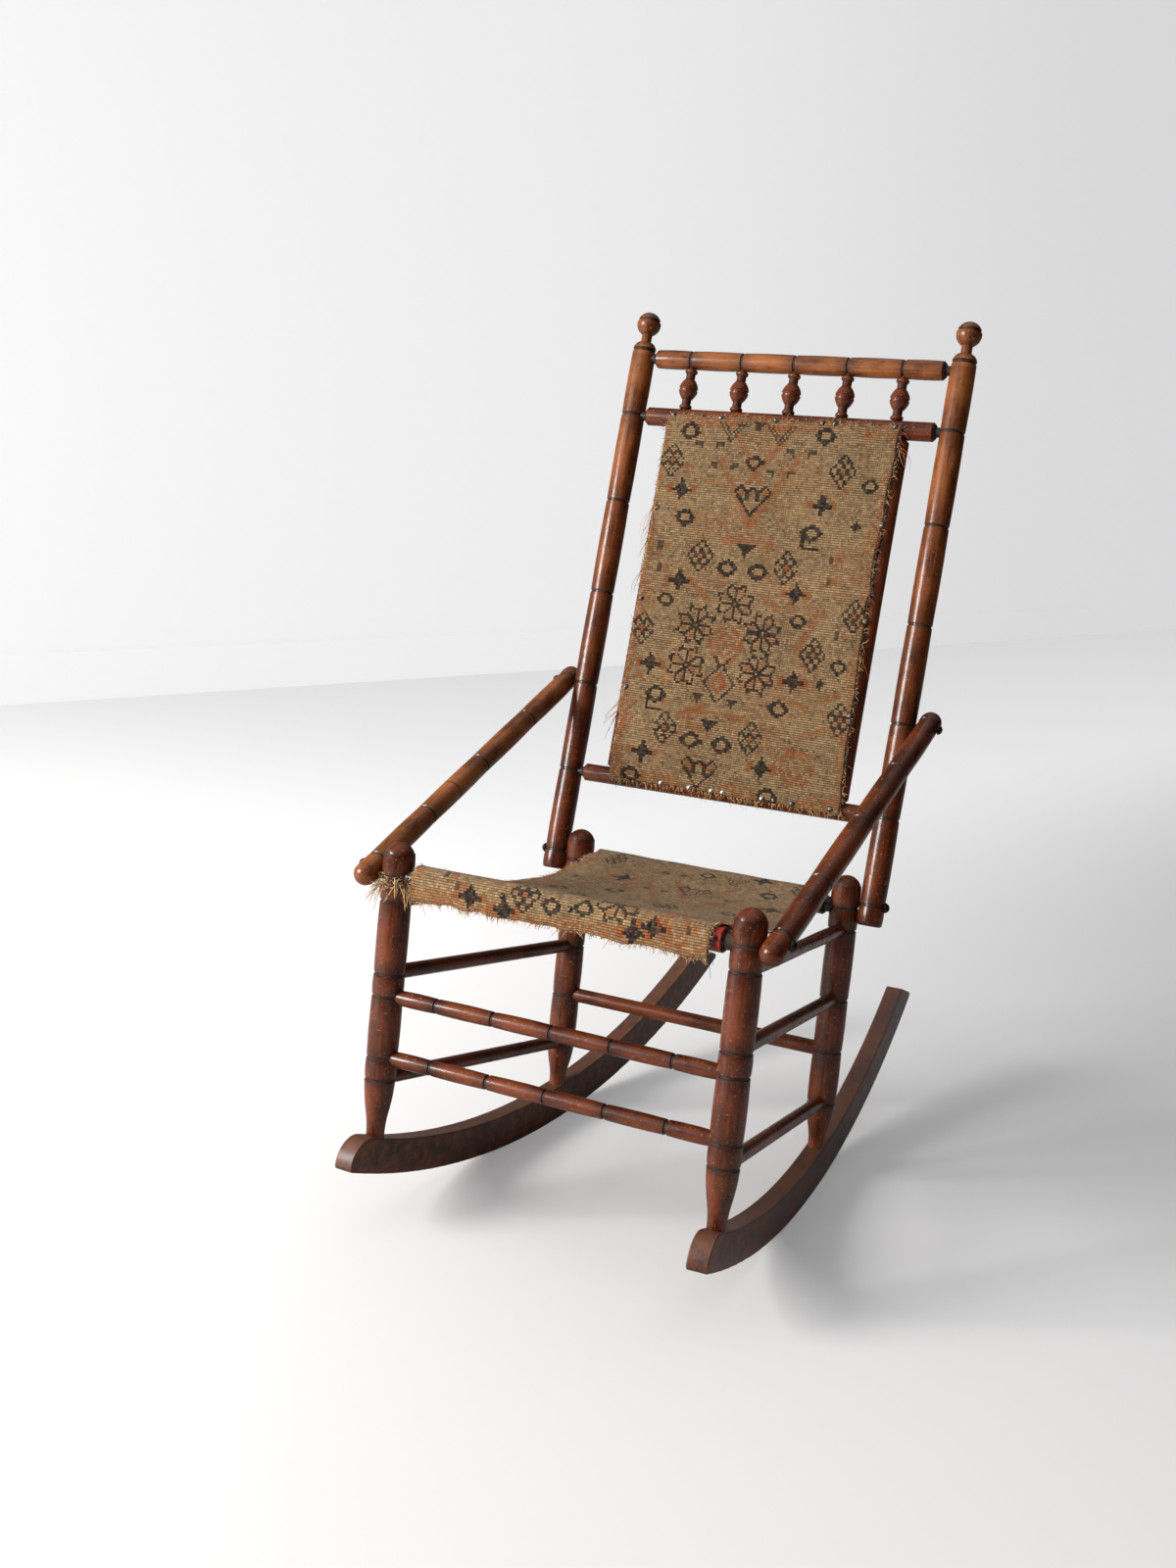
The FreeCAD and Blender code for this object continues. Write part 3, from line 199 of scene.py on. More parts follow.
class RockerWoodSettings(bpy.types.PropertyGroup):
    """Stains of the turned sticks and the rockers."""
    red_dark: colour("Red Stain, Dark", "Dark streaks of the legs, rails and stretchers", "#260701")
    red_light: colour("Red Stain, Light", "Lit wood of the legs, rails and stretchers", "#6A3115")
    gold_dark: colour("Golden Stain, Dark", "Dark streaks of the arms, posts and top rail", "#3E1807")
    gold_light: colour("Golden Stain, Light", "Worn, lit wood of the arms, posts and top rail", "#905428")
    groove: colour("Ring Grooves", "Ebonised grooves at the turned nodes", "#17110E")
    fibre_width: measure("Fibre Width", "Width of a streak of the grain", 1.6 * MM, 0.2 * MM)
    fibre_length: measure("Fibre Length", "Length of a streak of the grain", 60 * MM, 5 * MM, 4)
    roughness: FloatProperty(
        name="Varnish Roughness", description="Roughness of the worn varnish",
        default=0.36, min=0, max=1, subtype="FACTOR")


class RockerCarpetSettings(bpy.types.PropertyGroup):
    """Sizes and dyes of the carpets."""
    stitch: measure("Stitch", "Side of one stitch of the pattern", 2.6 * MM, 1 * MM)
    thickness: measure("Thickness", "Thickness of the carpet", 2.4 * MM, 0.5 * MM)
    ground: colour("Ground", "Khaki wool of the ground", "#8D7251")
    navy: colour("Navy", "Outlines of the motifs", "#0B0C11")
    rust: colour("Rust", "Fillings and stains", "#8A4418")
    straw: colour("Straw", "Worn, faded thread ends", "#BE9C68")
    backing: colour("Backing", "The carpet's rear side", "#64502F")


class RockerLooseSettings(bpy.types.PropertyGroup):
    """Loose threads at the worn edges."""
    thread_radius: measure("Thread Radius", "Radius of a frayed thread", 0.38 * MM, 0.1 * MM)
    fray_spacing: measure("Fray Spacing", "Mean distance between frayed threads along an edge",
                          0.8 * MM, 0.4 * MM)
    fray_length: measure("Fray Length", "Mean length of a frayed thread", 3.6 * MM, 1 * MM)
    seed: IntProperty(name="Seed", description="Order of the loose threads", default=7, min=0)


class RockerRoomSettings(bpy.types.PropertyGroup):
    """Camera, window light and the pale room."""
    focal_length: FloatProperty(
        name="Focal Length", description="Focal length on a 36 mm sensor",
        default=39.7837, min=10, max=200, unit="CAMERA")
    window_power: FloatProperty(
        name="Window Power", description="Power of the large soft window light",
        default=166, min=0, unit="POWER")
    window_size: measure("Window Size", "Side of the window light", 1.15, 0.1, 2)
    fill: FloatProperty(
        name="Room Light", description="Strength of the light from the window's side",
        default=0.95, min=0, max=3)
    far_fill: FloatProperty(
        name="Far Room Light", description="Strength of the light from the side away from it",
        default=0.02, min=0, max=2)
    floor: colour("Floor", "Painted floor, as it throws the light back", "#CCCBCA")
    wall: colour("Wall", "Painted wall, as it throws the light back", "#B4B4B6")


class RockerSettings(bpy.types.PropertyGroup):
    """All sizes and colours that a user may change."""
    wood: PointerProperty(type=RockerWoodSettings)
    carpet: PointerProperty(type=RockerCarpetSettings)
    loose: PointerProperty(type=RockerLooseSettings)
    room: PointerProperty(type=RockerRoomSettings)


def settings():
    """The settings of this scene."""
    return bpy.context.scene.turned_rocker


def long_axis(points):
    """Middle and direction of a straight stick, drawn through the middles of its two thirds."""
    middle = points.mean(0)
    direction = np.linalg.svd(points - middle, full_matrices=False)[2][0]
    for _ in range(3):
        side = np.cross(direction, (1.0, 0.0, 0.0))
        side /= np.linalg.norm(side)
        frame_axes = np.stack([side, np.cross(direction, side), direction])
        local = (points - middle) @ frame_axes.T
        low, high = np.quantile(local[:, 2], (0.02, 0.98))
        ends = []
        for part in (local[local[:, 2] < low + (high - low) / 3],
                     local[local[:, 2] > high - (high - low) / 3]):
            centre = (part.min(0) + part.max(0)) / 2
            ends.append(middle + centre @ frame_axes)
        middle = (ends[0] + ends[1]) / 2
        direction = (ends[1] - ends[0]) / np.linalg.norm(ends[1] - ends[0])
    return middle, direction if direction[1] > 0 else -direction


def vertex_places(piece):
    """The places of a piece's vertices as rows of x, y and z."""
    places = np.empty(len(piece.data.vertices) * 3, np.float32)
    piece.data.vertices.foreach_get("co", places)
    return places.reshape(-1, 3).astype(float)


def stick_axis(name):
    """A point on a turned piece's axis and the axis's direction."""
    points = vertex_places(frame["nodes"][name])
    middle = (points.min(0) + points.max(0)) / 2
    if "leg_" in name and not name.endswith("_rail"):
        reach = 0 if name.startswith("front") else LEG_SPACING
        return np.array([middle[0], *in_leg_frame((0, reach, 0))[1:]]), LEG_UP
    if name.startswith(("post_", "stile_", "spindle_")):
        return np.array([middle[0], PIVOT[1], PIVOT[2]]), BACK_UP
    if name.startswith(("arm_", "seat_side", "middle_side", "lower_side")):
        return long_axis(points)
    return middle, np.array([1.0, 0.0, 0.0])


# Options that several nodes share: a smooth step, a mix of colours, a mix of values, and
# products held between 0 and 1.
STEP = {"interpolation_type": "SMOOTHSTEP"}
TINT = {"data_type": "RGBA"}
MEAN = {"data_type": "FLOAT"}
TIMES = {"operation": "MULTIPLY", "use_clamp": True}
TIMES_ADD = {"operation": "MULTIPLY_ADD", "use_clamp": True}
BLOTCH_WIDTH = 24 * MM
BLOTCH_LENGTH = 52 * MM
ASH_SIZE = 9 * MM
SPECK_SIZE = 2.6 * MM
# The part of a stick that has ring grooves, in heights of its frame.
RING_SPANS = {
    "front_leg": (46 * MM, 279.6 * MM),
    "rear_leg": (18 * MM, 264.6 * MM),
    "post": (-40 * MM, 590 * MM),
}
POST_BANDS = ((597 * MM, 2.1 * MM), (633 * MM, 1.3 * MM))
POST_GOLD_SPAN = (0.0, 0.75)
WHOLE_STICK = (-2.0, -1.0)
GOLDEN = ("arm_", "post_", "top_rail")
END_CAP = 11 * MM
GROOVE_DEPTHS = (0.75 * MM, 1.15 * MM)
SHADED_DEPTHS = (0.05 * MM, 0.55 * MM)
# A spindle's neck darkens between these shares of its radius, to this strength.
BEAD_GROOVES = (0.66, 0.5, 0.6)
# The stain's noise soaks in between its first two values, to this strength.
SOAKED = (0.3, 0.66, 1.0)
SCORED_RING = 154 * MM
SCORED_HALF = 0.9 * MM
RUBY_STAIN = (linear("#4E0B07"), linear("#A62C1E"))
RUBY_SPAN = (146 * MM, 149 * MM)


def along_axis(tree, start, direction):
    """Object coordinates turned so that Z runs along a stick and its axis is X = Y = 0."""
    turn = Vector(direction).to_track_quat("Z", "Y").to_matrix().transposed()
    place = node(tree, "ShaderNodeTexCoord").outputs["Object"]
    return node(tree, "ShaderNodeMapping", {"vector_type": "POINT"}, {
        "Vector": place, "Location": -(turn @ Vector(start)), "Rotation": turn.to_euler(),
    }).outputs["Vector"]


def streaks(tree, coordinates, width, length, detail=4.0):
    """Noise drawn out along Z: spots as wide as a fibre and as long as a streak."""
    drawn = node(tree, "ShaderNodeVectorMath", {"operation": "MULTIPLY"}, {
        0: coordinates, 1: (1 / width, 1 / width, 1 / length)}).outputs["Vector"]
    return node(tree, "ShaderNodeTexNoise", {}, {
        "Vector": drawn, "Scale": 1.0, "Detail": detail, "Roughness": 0.62}).outputs["Fac"]


def laid_over(tree, base, layers):
    """A colour with others laid over it, each where a value of its own passes through a span.

    A layer holds the value, the span's start and end, the strength at the end and the colour.
    """
    for value, start, end, strength, tone in layers:
        cover = node(tree, "ShaderNodeMapRange", STEP, {
            0: value, 1: start, 2: end, 4: strength}).outputs[0]
        base = node(tree, "ShaderNodeMix", TINT, {0: cover, 6: base, 7: tone}).outputs[2]
    return base


def steps_product(tree, steps):
    """The product of smooth steps, each with its value, its span and its levels at both ends."""
    product = 1.0
    for value, start, end, low, high in steps:
        step = node(tree, "ShaderNodeMapRange", STEP, {
            0: value, 1: start, 2: end, 3: low, 4: high}).outputs[0]
        product = node(tree, "ShaderNodeMath", TIMES, {0: product, 1: step}).outputs[0]
    return product


def varnished_maple(name, start, direction, radius, ring_span, bands=(), gold=None,
                    gold_span=WHOLE_STICK):
    """Turned maple, stained, grained like bamboo and varnished.

    The eye gets streaks along the stick, a lighter belly in each segment where painted shade darkens the wood
    towards the grooves, near-black grooves at the nodes, blotches where the stain soaked in, and a broken, soft
    gloss. A second stain takes over along its span of the stick. Bands are scored rings with their half widths.
    """
    chosen = settings().wood
    material, tree = new_material(name)
    coordinates = along_axis(tree, start, direction)
    height = node(tree, "ShaderNodeSeparateXYZ", {}, {0: coordinates}).outputs["Z"]
    fibres = streaks(tree, coordinates, chosen.fibre_width, chosen.fibre_length)
    pores = streaks(tree, coordinates, chosen.fibre_width / 4, chosen.fibre_length / 5, 2.0)
    blotches = streaks(tree, coordinates, BLOTCH_WIDTH, BLOTCH_LENGTH, 3.0)
    ash, specks = (node(tree, "ShaderNodeTexNoise", {}, {
        "Vector": coordinates, "Scale": 1 / size, "Detail": detail, "Roughness": roughness,
    }).outputs["Fac"] for size, detail, roughness in ((ASH_SIZE, 5.0, 0.7), (SPECK_SIZE, 2.0, 0.5)))
    stain = node(tree, "ShaderNodeMix", MEAN, {0: 0.65, 2: fibres, 3: blotches}).outputs[0]
    rubbed = node(tree, "ShaderNodeMath", TIMES_ADD, {0: pores, 1: -0.3, 2: blotches}).outputs[0]
    palest = chosen.red_light
    wood = laid_over(tree, chosen.red_dark, [(stain, *SOAKED, palest)])
    if gold:
        golden = laid_over(tree, gold[0], [(stain, *SOAKED, gold[1])])
        wood = laid_over(tree, wood, [(height, *gold_span, 1.0, golden)])
        palest = laid_over(tree, palest, [(height, *gold_span, 1.0, gold[1])])
    flat = node(tree, "ShaderNodeVectorMath", {"operation": "MULTIPLY"}, {
        0: coordinates, 1: (1, 1, 0)}).outputs["Vector"]
    reach = node(tree, "ShaderNodeVectorMath", {"operation": "LENGTH"}, {0: flat}).outputs["Value"]
    groove = (radius * BEAD_GROOVES[0], radius * BEAD_GROOVES[1], BEAD_GROOVES[2])
    layers = [(ash, 0.56, 0.72, 0.55, chosen.red_dark), (specks, 0.63, 0.72, 0.5, linear("#A87642")),
              (rubbed, 0.46, 0.62, 0.35, palest)]
    if ring_span:
        groove = (radius - GROOVE_DEPTHS[0], radius - GROOVE_DEPTHS[1], 1.0)
        # Painted shade: the wood darkens as the stick narrows into each groove.
        shaded = (radius - SHADED_DEPTHS[0], radius - SHADED_DEPTHS[1])
        inside = steps_product(tree, ((height, ring_span[0] - MM, ring_span[0], 0.0, 1.0),
                                      (height, ring_span[1] + MM, ring_span[1], 0.0, 1.0)))
        reach = node(tree, "ShaderNodeMix", MEAN, {0: inside, 2: radius, 3: reach}).outputs[0]
        layers.append((reach, *shaded, 0.42, chosen.red_dark))
    wood = laid_over(tree, wood, layers)
    cut = node(tree, "ShaderNodeMapRange", STEP, {
        0: reach, 1: groove[0], 2: groove[1], 4: groove[2]}).outputs[0]
    for station, half_width in bands:
        ring = node(tree, "ShaderNodeMath", {"operation": "COMPARE"}, {
            0: height, 1: station, 2: half_width}).outputs[0]
        cut = node(tree, "ShaderNodeMath", {"operation": "MAXIMUM"}, {0: cut, 1: ring}).outputs[0]
    ebony = laid_over(tree, chosen.groove, [(ash, 0.4, 0.7, 0.6, linear("#4A4038"))])
    covered = node(tree, "ShaderNodeMath", TIMES, {0: cut, 1: 0.93}).outputs[0]
    wood = node(tree, "ShaderNodeMix", TINT, {0: covered, 6: wood, 7: ebony}).outputs[2]
    dulled = node(tree, "ShaderNodeMapRange", STEP, {
        0: ash, 1: 0.3, 2: 0.75, 3: chosen.roughness - 0.12, 4: chosen.roughness + 0.16}).outputs[0]
    rough = node(tree, "ShaderNodeMath", TIMES_ADD, {0: cut, 1: 0.25, 2: dulled}).outputs[0]
    grain = node(tree, "ShaderNodeMix", MEAN, {0: 0.5, 2: pores, 3: fibres}).outputs[0]
    relief = node(tree, "ShaderNodeBump", {}, {
        "Strength": 0.35, "Distance": 0.25 * MM, "Height": grain}).outputs["Normal"]
    shader = node(tree, "ShaderNodeBsdfPrincipled", {}, {
        "Base Color": wood, "Roughness": rough, "Normal": relief, "IOR": 1.5,
        "Specular IOR Level": 0.18, "Coat Weight": 0.24, "Coat Roughness": 0.1, "Coat IOR": 1.5})
    node(tree, "ShaderNodeOutputMaterial", {}, {"Surface": shader.outputs["BSDF"]})
    return material


class ROCKER_OT_turned_sticks(bpy.types.Operator):
    """Stain and varnish every turned leg, post, rail, stretcher, spindle and arm"""
    bl_idname = "rocker.turned_sticks"
    bl_label = "Turned Sticks"

    def execute(self, context):
        for row in frame["record"]["subparts"]:
            if row["material_slot"] in ("red_brown_wood", "golden_wood"):
                name = row["node"]
                finish(name, varnished_maple(f"varnished_maple_{name}", **self.stick(name)))
        return {"FINISHED"}

    def stick(self, name):
        """A stick's axis, radius, span of rings, bands and second stain."""
        chosen = settings().wood
        start, direction = stick_axis(name)
        points = vertex_places(frame["nodes"][name]) - start
        along = points @ direction
        reach = np.linalg.norm(points - np.outer(along, direction), axis=1)
        kind = name.rsplit("_", 1)[0] if name.endswith(("_left", "_right")) else name
        low, high = RING_SPANS.get(kind, (float(along.min()), float(along.max())))
        found = {"start": start, "direction": direction, "radius": float(np.quantile(reach, 0.985)),
                 "ring_span": (low, high)}
        if kind.startswith("spindle"):
            found["ring_span"] = None
        elif name == "front_seat_rail":
            found.update(gold=RUBY_STAIN, gold_span=RUBY_SPAN)
        elif name.startswith(GOLDEN) and name != "arm_left":
            found["gold"] = (chosen.gold_dark, chosen.gold_light)
        if kind == "post":
            found.update(bands=POST_BANDS, gold_span=POST_GOLD_SPAN)
        elif name.startswith(GOLDEN):
            found["ring_span"] = (low + END_CAP, high - END_CAP)
        if name == "arm_right":
            screw = np.mean(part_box("front_arm_screw_right"), axis=0)
            scored = float((screw - start) @ direction) + SCORED_RING
            found["bands"] = ((scored, SCORED_HALF),)
        return found


BOARD_FIBRES = (2.4 * MM, 90 * MM)
BOARD_BLOTCHES = (26 * MM, 70 * MM)
SCUFF_SIZE = 14 * MM
BOARD_RIM = (8.0 * MM, 10.1 * MM)


def worn_board(name, start, along):
    """A rocker: sawn maple, darkly stained, its varnish dulled by dust and shoes.

    The eye gets near-black brown sides, a grey bloom on what faces up that is partly dust and partly painted
    sheen, and pale rubbed edges that break up along the board.
    """
    material, tree = new_material(name)
    coordinates = along_axis(tree, start, along)
    normal = node(tree, "ShaderNodeTexCoord").outputs["Normal"]
    upward = node(tree, "ShaderNodeSeparateXYZ", {}, {0: normal}).outputs["Z"]
    across = node(tree, "ShaderNodeSeparateXYZ", {}, {0: coordinates}).outputs["X"]
    sideways = node(tree, "ShaderNodeMath", {"operation": "ABSOLUTE"}, {0: across}).outputs[0]
    fibres = streaks(tree, coordinates, *BOARD_FIBRES)
    blotches = streaks(tree, coordinates, *BOARD_BLOTCHES)
    scuffs = node(tree, "ShaderNodeTexNoise", {}, {
        "Vector": coordinates, "Scale": 1 / SCUFF_SIZE, "Detail": 6.0, "Roughness": 0.72,
    }).outputs["Fac"]
    stain = node(tree, "ShaderNodeMix", MEAN, {0: 0.55, 2: fibres, 3: blotches}).outputs[0]
    wood = laid_over(tree, linear("#240C04"), [(stain, 0.36, 0.66, 1.0, linear("#5C2C16"))])
    rim = ((sideways, *BOARD_RIM, 0.0, 1.0), (scuffs, 0.42, 0.66, 0.0, 0.5))
    # Partly dust, partly painted sheen: faces turned up are greyed as the bright room's reflection would grey
    # them.
    dust_and_painted_sheen = ((upward, 0.35, 0.9, 0.0, 1.0), (scuffs, 0.3, 0.62, 0.21, 0.51))
    for steps, tone in ((rim, linear("#8A5430")), (dust_and_painted_sheen, linear("#6C4C3A"))):
        cover = steps_product(tree, steps)
        wood = node(tree, "ShaderNodeMix", TINT, {0: cover, 6: wood, 7: tone}).outputs[2]
    relief = node(tree, "ShaderNodeBump", {}, {
        "Strength": 0.4, "Distance": 0.4 * MM, "Height": scuffs}).outputs["Normal"]
    rough = node(tree, "ShaderNodeMath", TIMES_ADD, {0: scuffs, 1: 0.3, 2: 0.36}).outputs[0]
    shader = node(tree, "ShaderNodeBsdfPrincipled", {}, {
        "Base Color": wood, "Normal": relief, "IOR": 1.5, "Roughness": rough,
        "Specular IOR Level": 0.35, "Coat Weight": 0.1, "Coat Roughness": 0.3})
    node(tree, "ShaderNodeOutputMaterial", {}, {"Surface": shader.outputs["BSDF"]})
    return material


class ROCKER_OT_rocker_boards(bpy.types.Operator):
    """Finish the two sawn rockers"""
    bl_idname = "rocker.rocker_boards"
    bl_label = "Rocker Boards"

    def execute(self, context):
        for name in ("rocker_left", "rocker_right"):
            points = vertex_places(frame["nodes"][name])
            front = points[points[:, 1] < np.quantile(points[:, 1], 0.1)].mean(0)
            rear = points[points[:, 1] > np.quantile(points[:, 1], 0.9)].mean(0)
            run = (rear - front) * (1, 1, 0)
            run /= np.linalg.norm(run)
            finish(name, worn_board(f"worn_maple_{name}", (front + rear) / 2, run))
        return {"FINISHED"}


TARNISH_SIZE = 2.2 * MM
RUBBED_X = (-75 * MM, 55 * MM)
RUBBED_BLEND = 5 * MM
RUBBED_RISE = (20 * MM, 10 * MM)


def tarnished_steel(name, dark, bright, rail_top=None):
    """Domed steel heads, browned by age; the eye gets a dull dome with one small spark.

    Heads near the middle and below or just above the rail's top are rubbed bright by sleeves.
    """
    material, tree = new_material(name)
    place = node(tree, "ShaderNodeTexCoord").outputs["Object"]
    spots = node(tree, "ShaderNodeTexNoise", {}, {
        "Vector": place, "Scale": 1 / TARNISH_SIZE, "Detail": 3.0}).outputs["Fac"]
    metal = laid_over(tree, linear(dark), [(spots, 0.4, 0.7, 1.0, linear(bright))])
    rough = node(tree, "ShaderNodeMapRange", STEP, {
        0: spots, 1: 0.35, 2: 0.7, 3: 0.38, 4: 0.62}).outputs[0]
    if rail_top is not None:
        parts = node(tree, "ShaderNodeSeparateXYZ", {}, {0: place}).outputs
        rubbed = steps_product(tree, (
            (parts["X"], RUBBED_X[0], RUBBED_X[0] + RUBBED_BLEND, 0.0, 1.0),
            (parts["X"], RUBBED_X[1], RUBBED_X[1] - RUBBED_BLEND, 0.0, 1.0),
            (parts["Z"], rail_top + RUBBED_RISE[0], rail_top + RUBBED_RISE[1], 0.0, 1.0)))
        metal = node(tree, "ShaderNodeMix", TINT, {
            0: rubbed, 6: metal, 7: linear("#D9D2C8")}).outputs[2]
        rough = node(tree, "ShaderNodeMath", TIMES_ADD, {0: rubbed, 1: -0.22, 2: rough}).outputs[0]
    shader = node(tree, "ShaderNodeBsdfPrincipled", {}, {
        "Base Color": metal, "Metallic": 1.0, "Roughness": rough})
    node(tree, "ShaderNodeOutputMaterial", {}, {"Surface": shader.outputs["BSDF"]})
    return material


class ROCKER_OT_hardware(bpy.types.Operator):
    """Tarnish the upholstery tacks and blacken the screws"""
    bl_idname = "rocker.hardware"
    bl_label = "Tacks and Screws"

    def execute(self, context):
        rail_top = float(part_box("lower_back_rail")[1][2])
        slots = {
            "tacks": tarnished_steel("tarnished_tack_steel", "#4A3F36", "#A0948A", rail_top),
            "screws": tarnished_steel("blackened_screw_steel", "#1B1817", "#4B4644"),
        }
        for row in frame["record"]["subparts"]:
            if row["material_slot"] in slots:
                finish(row["node"], slots[row["material_slot"]])
        finish("seat_tacks", tarnished_steel("browned_tack_steel", "#3A2C24", "#7A6A5E"))
        return {"FINISHED"}


def near(value, middle, reach):
    """Where a value is nearer than a reach to a middle."""
    return np.abs(value - middle) < reach


def between(value, low, high):
    """Where a value lies between two limits."""
    return (value > low) & (value < high)


def eight_point_star(x, y):
    """Eight kites round a middle, 45 degrees apart, each outlined and half of them filled."""
    reach, angle = np.hypot(x, y), np.arctan2(y, x)
    fold = angle % (math.pi / 4) - math.pi / 8
    along, across = reach * np.cos(fold), np.abs(reach * np.sin(fold))
    width = np.minimum(along * 0.414, (9.8 - along) * 0.74)
    kite = (along > 0.6) & (across < width)
    rim = kite & (across > width - np.where(along < 6.4, 0.62, 1.35))
    filled = np.sin(angle * 4) > 0
    return ((kite & filled, "rust", 0.28), (rim, "navy", 0.92))


def lattice_rosette(x, y):
    """A diamond net, three meshes a side, with its side corners cut off and a rust middle."""
    first, second = x / 4.0 + y / 4.9, x / 4.0 - y / 4.9
    reach = np.maximum(np.abs(first), np.abs(second))
    inside = (reach < 1.66) & near(x, 0, 5.7) & near(y, 0, 7.3)
    line = near(first % 1, 0.5, 0.16) | near(second % 1, 0.5, 0.16)
    return ((inside & ~line, "pale", 0.35), (inside & line, "navy", 0.9), (reach < 0.32, "rust", 0.7))


def stepped_ring(x, y, size=1.0):
    """A thick oval outline, a band of a super-ellipse, with a step at each of its four ends."""
    level = (np.abs(x) / (4.2 * size)) ** 1.8 + (np.abs(y) / (3.3 * size)) ** 1.8
    step = near(y, 0, 0.7) & near(x, 0, 5.2 * size) | near(x, 0, 0.7) & near(y, 0, 4 * size)
    rim = (level > 0.36) & ((level < 1.15) | step)
    return ((level < 0.36, "pale", 0.4), (rim & (level < 1.8), "navy", 0.93))


def small_ring(x, y):
    """A stepped ring at five sixths of the size."""
    return stepped_ring(x, y, 0.83)


def tailed_ring(x, y):
    """A stepped ring with a tail that drops at its left and runs to the right."""
    drop = near(x, -3.4, 0.8) & between(y, 1, 6.6)
    foot = near(y, 6.6, 0.8) & between(x, -3.6, 4.4)
    return stepped_ring(x, y) + ((drop | foot, "navy", 0.93),)


def armed_cross(x, y):
    """A dark spiked diamond with rust arms to both sides."""
    body = np.abs(x) / 3.7 + np.abs(y) / 4.2 < 1
    spikes = near(x, -0.4, 0.8) & near(y, 0, 4.8) | near(x, 0, 4.8) & near(y, 0.4, 0.8)
    arms = near(y, 0, 1.7) & between(np.abs(x), 3.6, 7)
    return ((arms, "rust", 0.75), (body | spikes, "navy", 0.95))


def small_cross(x, y):
    """A dark diamond."""
    return ((np.abs(x) / 2.2 + np.abs(y) / 2.6 < 1, "navy", 0.9),)


def bracketed_triangle(x, y):
    """A dark triangle, point down, in a broken rust bracket with a stem."""
    dark = between(y, -2.4, 2.8) & near(x, 0, 4.6 - (y + 2.4) * 0.85)
    top = near(y, -5.4, 0.9) & near(x, 0, 11.2) & (x % 5 < 4)
    sides = near(np.abs(x), 10, 0.9) & between(y, -5, 1.6)
    stem = near(x, 0, 0.9) & between(y, 2.6, 6.6)
    return ((top | sides | stem, "rust", 0.42), (dark, "navy", 0.95))


def small_triangle(x, y):
    """A small dark triangle, point down."""
    return ((between(y, -2, 2.4) & near(x, 0, 2.8 - (y + 2) * 0.6), "navy", 0.85),)


def pointed_heart(x, y):
    """Two lobes over a point, with a crown between them, all in outline."""
    aside = np.abs(x)
    sides = near(aside, 8.4 - (y + 3) * 0.84, 0.75) & (y > -3.2)
    inner = near(aside, 6.4 - (y + 2) * 0.84, 0.45) & between(y, -2, 4.6) & ((x + y) % 2 < 1)
    lobes = near(y, np.abs(aside - 5.6) * 1.05 - 5.8, 0.8) & between(aside, 2.6, 8.6)
    walls = near(aside, 2.5, 0.6) & between(y, -4, 1.2)
    crown = near(y, aside * 0.5 - 4.6, 0.7) & (aside < 2.6)
    filled = near(aside, 5.4, 1.7) & between(y, -4.2, -0.6)
    return ((filled, "rust", 0.55), (sides | lobes | walls | crown, "navy", 0.93), (inner, "navy", 0.6))


def flower_outline(x, y):
    """An outlined diamond with two ears on top, and a rust ring and dot inside."""
    level = np.abs(x) / 7.4 + np.abs(y) / 8.8
    ears = near(np.abs(x), 2.6 - (y + 10) * 0.5, 0.6) & between(y, -12, -7.6)
    return ((between(level, 0.28, 0.58), "rust", 0.75), (level < 0.12, "rust", 0.6),
            (between(level, 0.87, 1.04) | ears, "navy", 0.85))


def hatched_chevron(x, y):
    """A V of slanting dark hatches, with rust in its mouth."""
    level = np.abs(x) + (y + 4.4) * 0.78
    low = y > -4.6
    return ((between(level, 3.4, 7.4) & low & (level % 2 < 1.05), "navy", 0.8),
            ((level < 3.4) & low, "rust", 0.5))


def dash_pair(x, y):
    """Two short dark dashes with a leg each."""
    bars = near(np.abs(x), 5, 1.7) & near(y, 0, 0.8)
    legs = near(np.abs(x), 3.6, 0.6) & between(y, 0, 2.4)
    return ((bars | legs, "navy", 0.8),)


def rust_medallion(x, y):
    """Broken rust rings round a dot."""
    reach, angle = np.hypot(x, y), np.arctan2(y, x)
    rings = near(reach, 7.2, 0.9) | near(reach, 4.2, 0.9) | (reach < 1.4)
    return ((rings & (np.cos(angle * 6) > -0.75), "rust", 0.7),)


def dark_fleck(x, y):
    """A short dark dash beside a rust one."""
    return ((near(x, 0, 1.2) & near(y, 0, 1.8), "navy", 0.75),
            (near(x, 3, 1.4) & near(y, 0, 1.4), "rust", 0.6))


def rust_stroke(x, y):
    """A stepped rust stroke."""
    return ((near(y, np.sign(x) * 1.2, 0.9) & near(x, 0, 4.2), "rust", 0.5),)


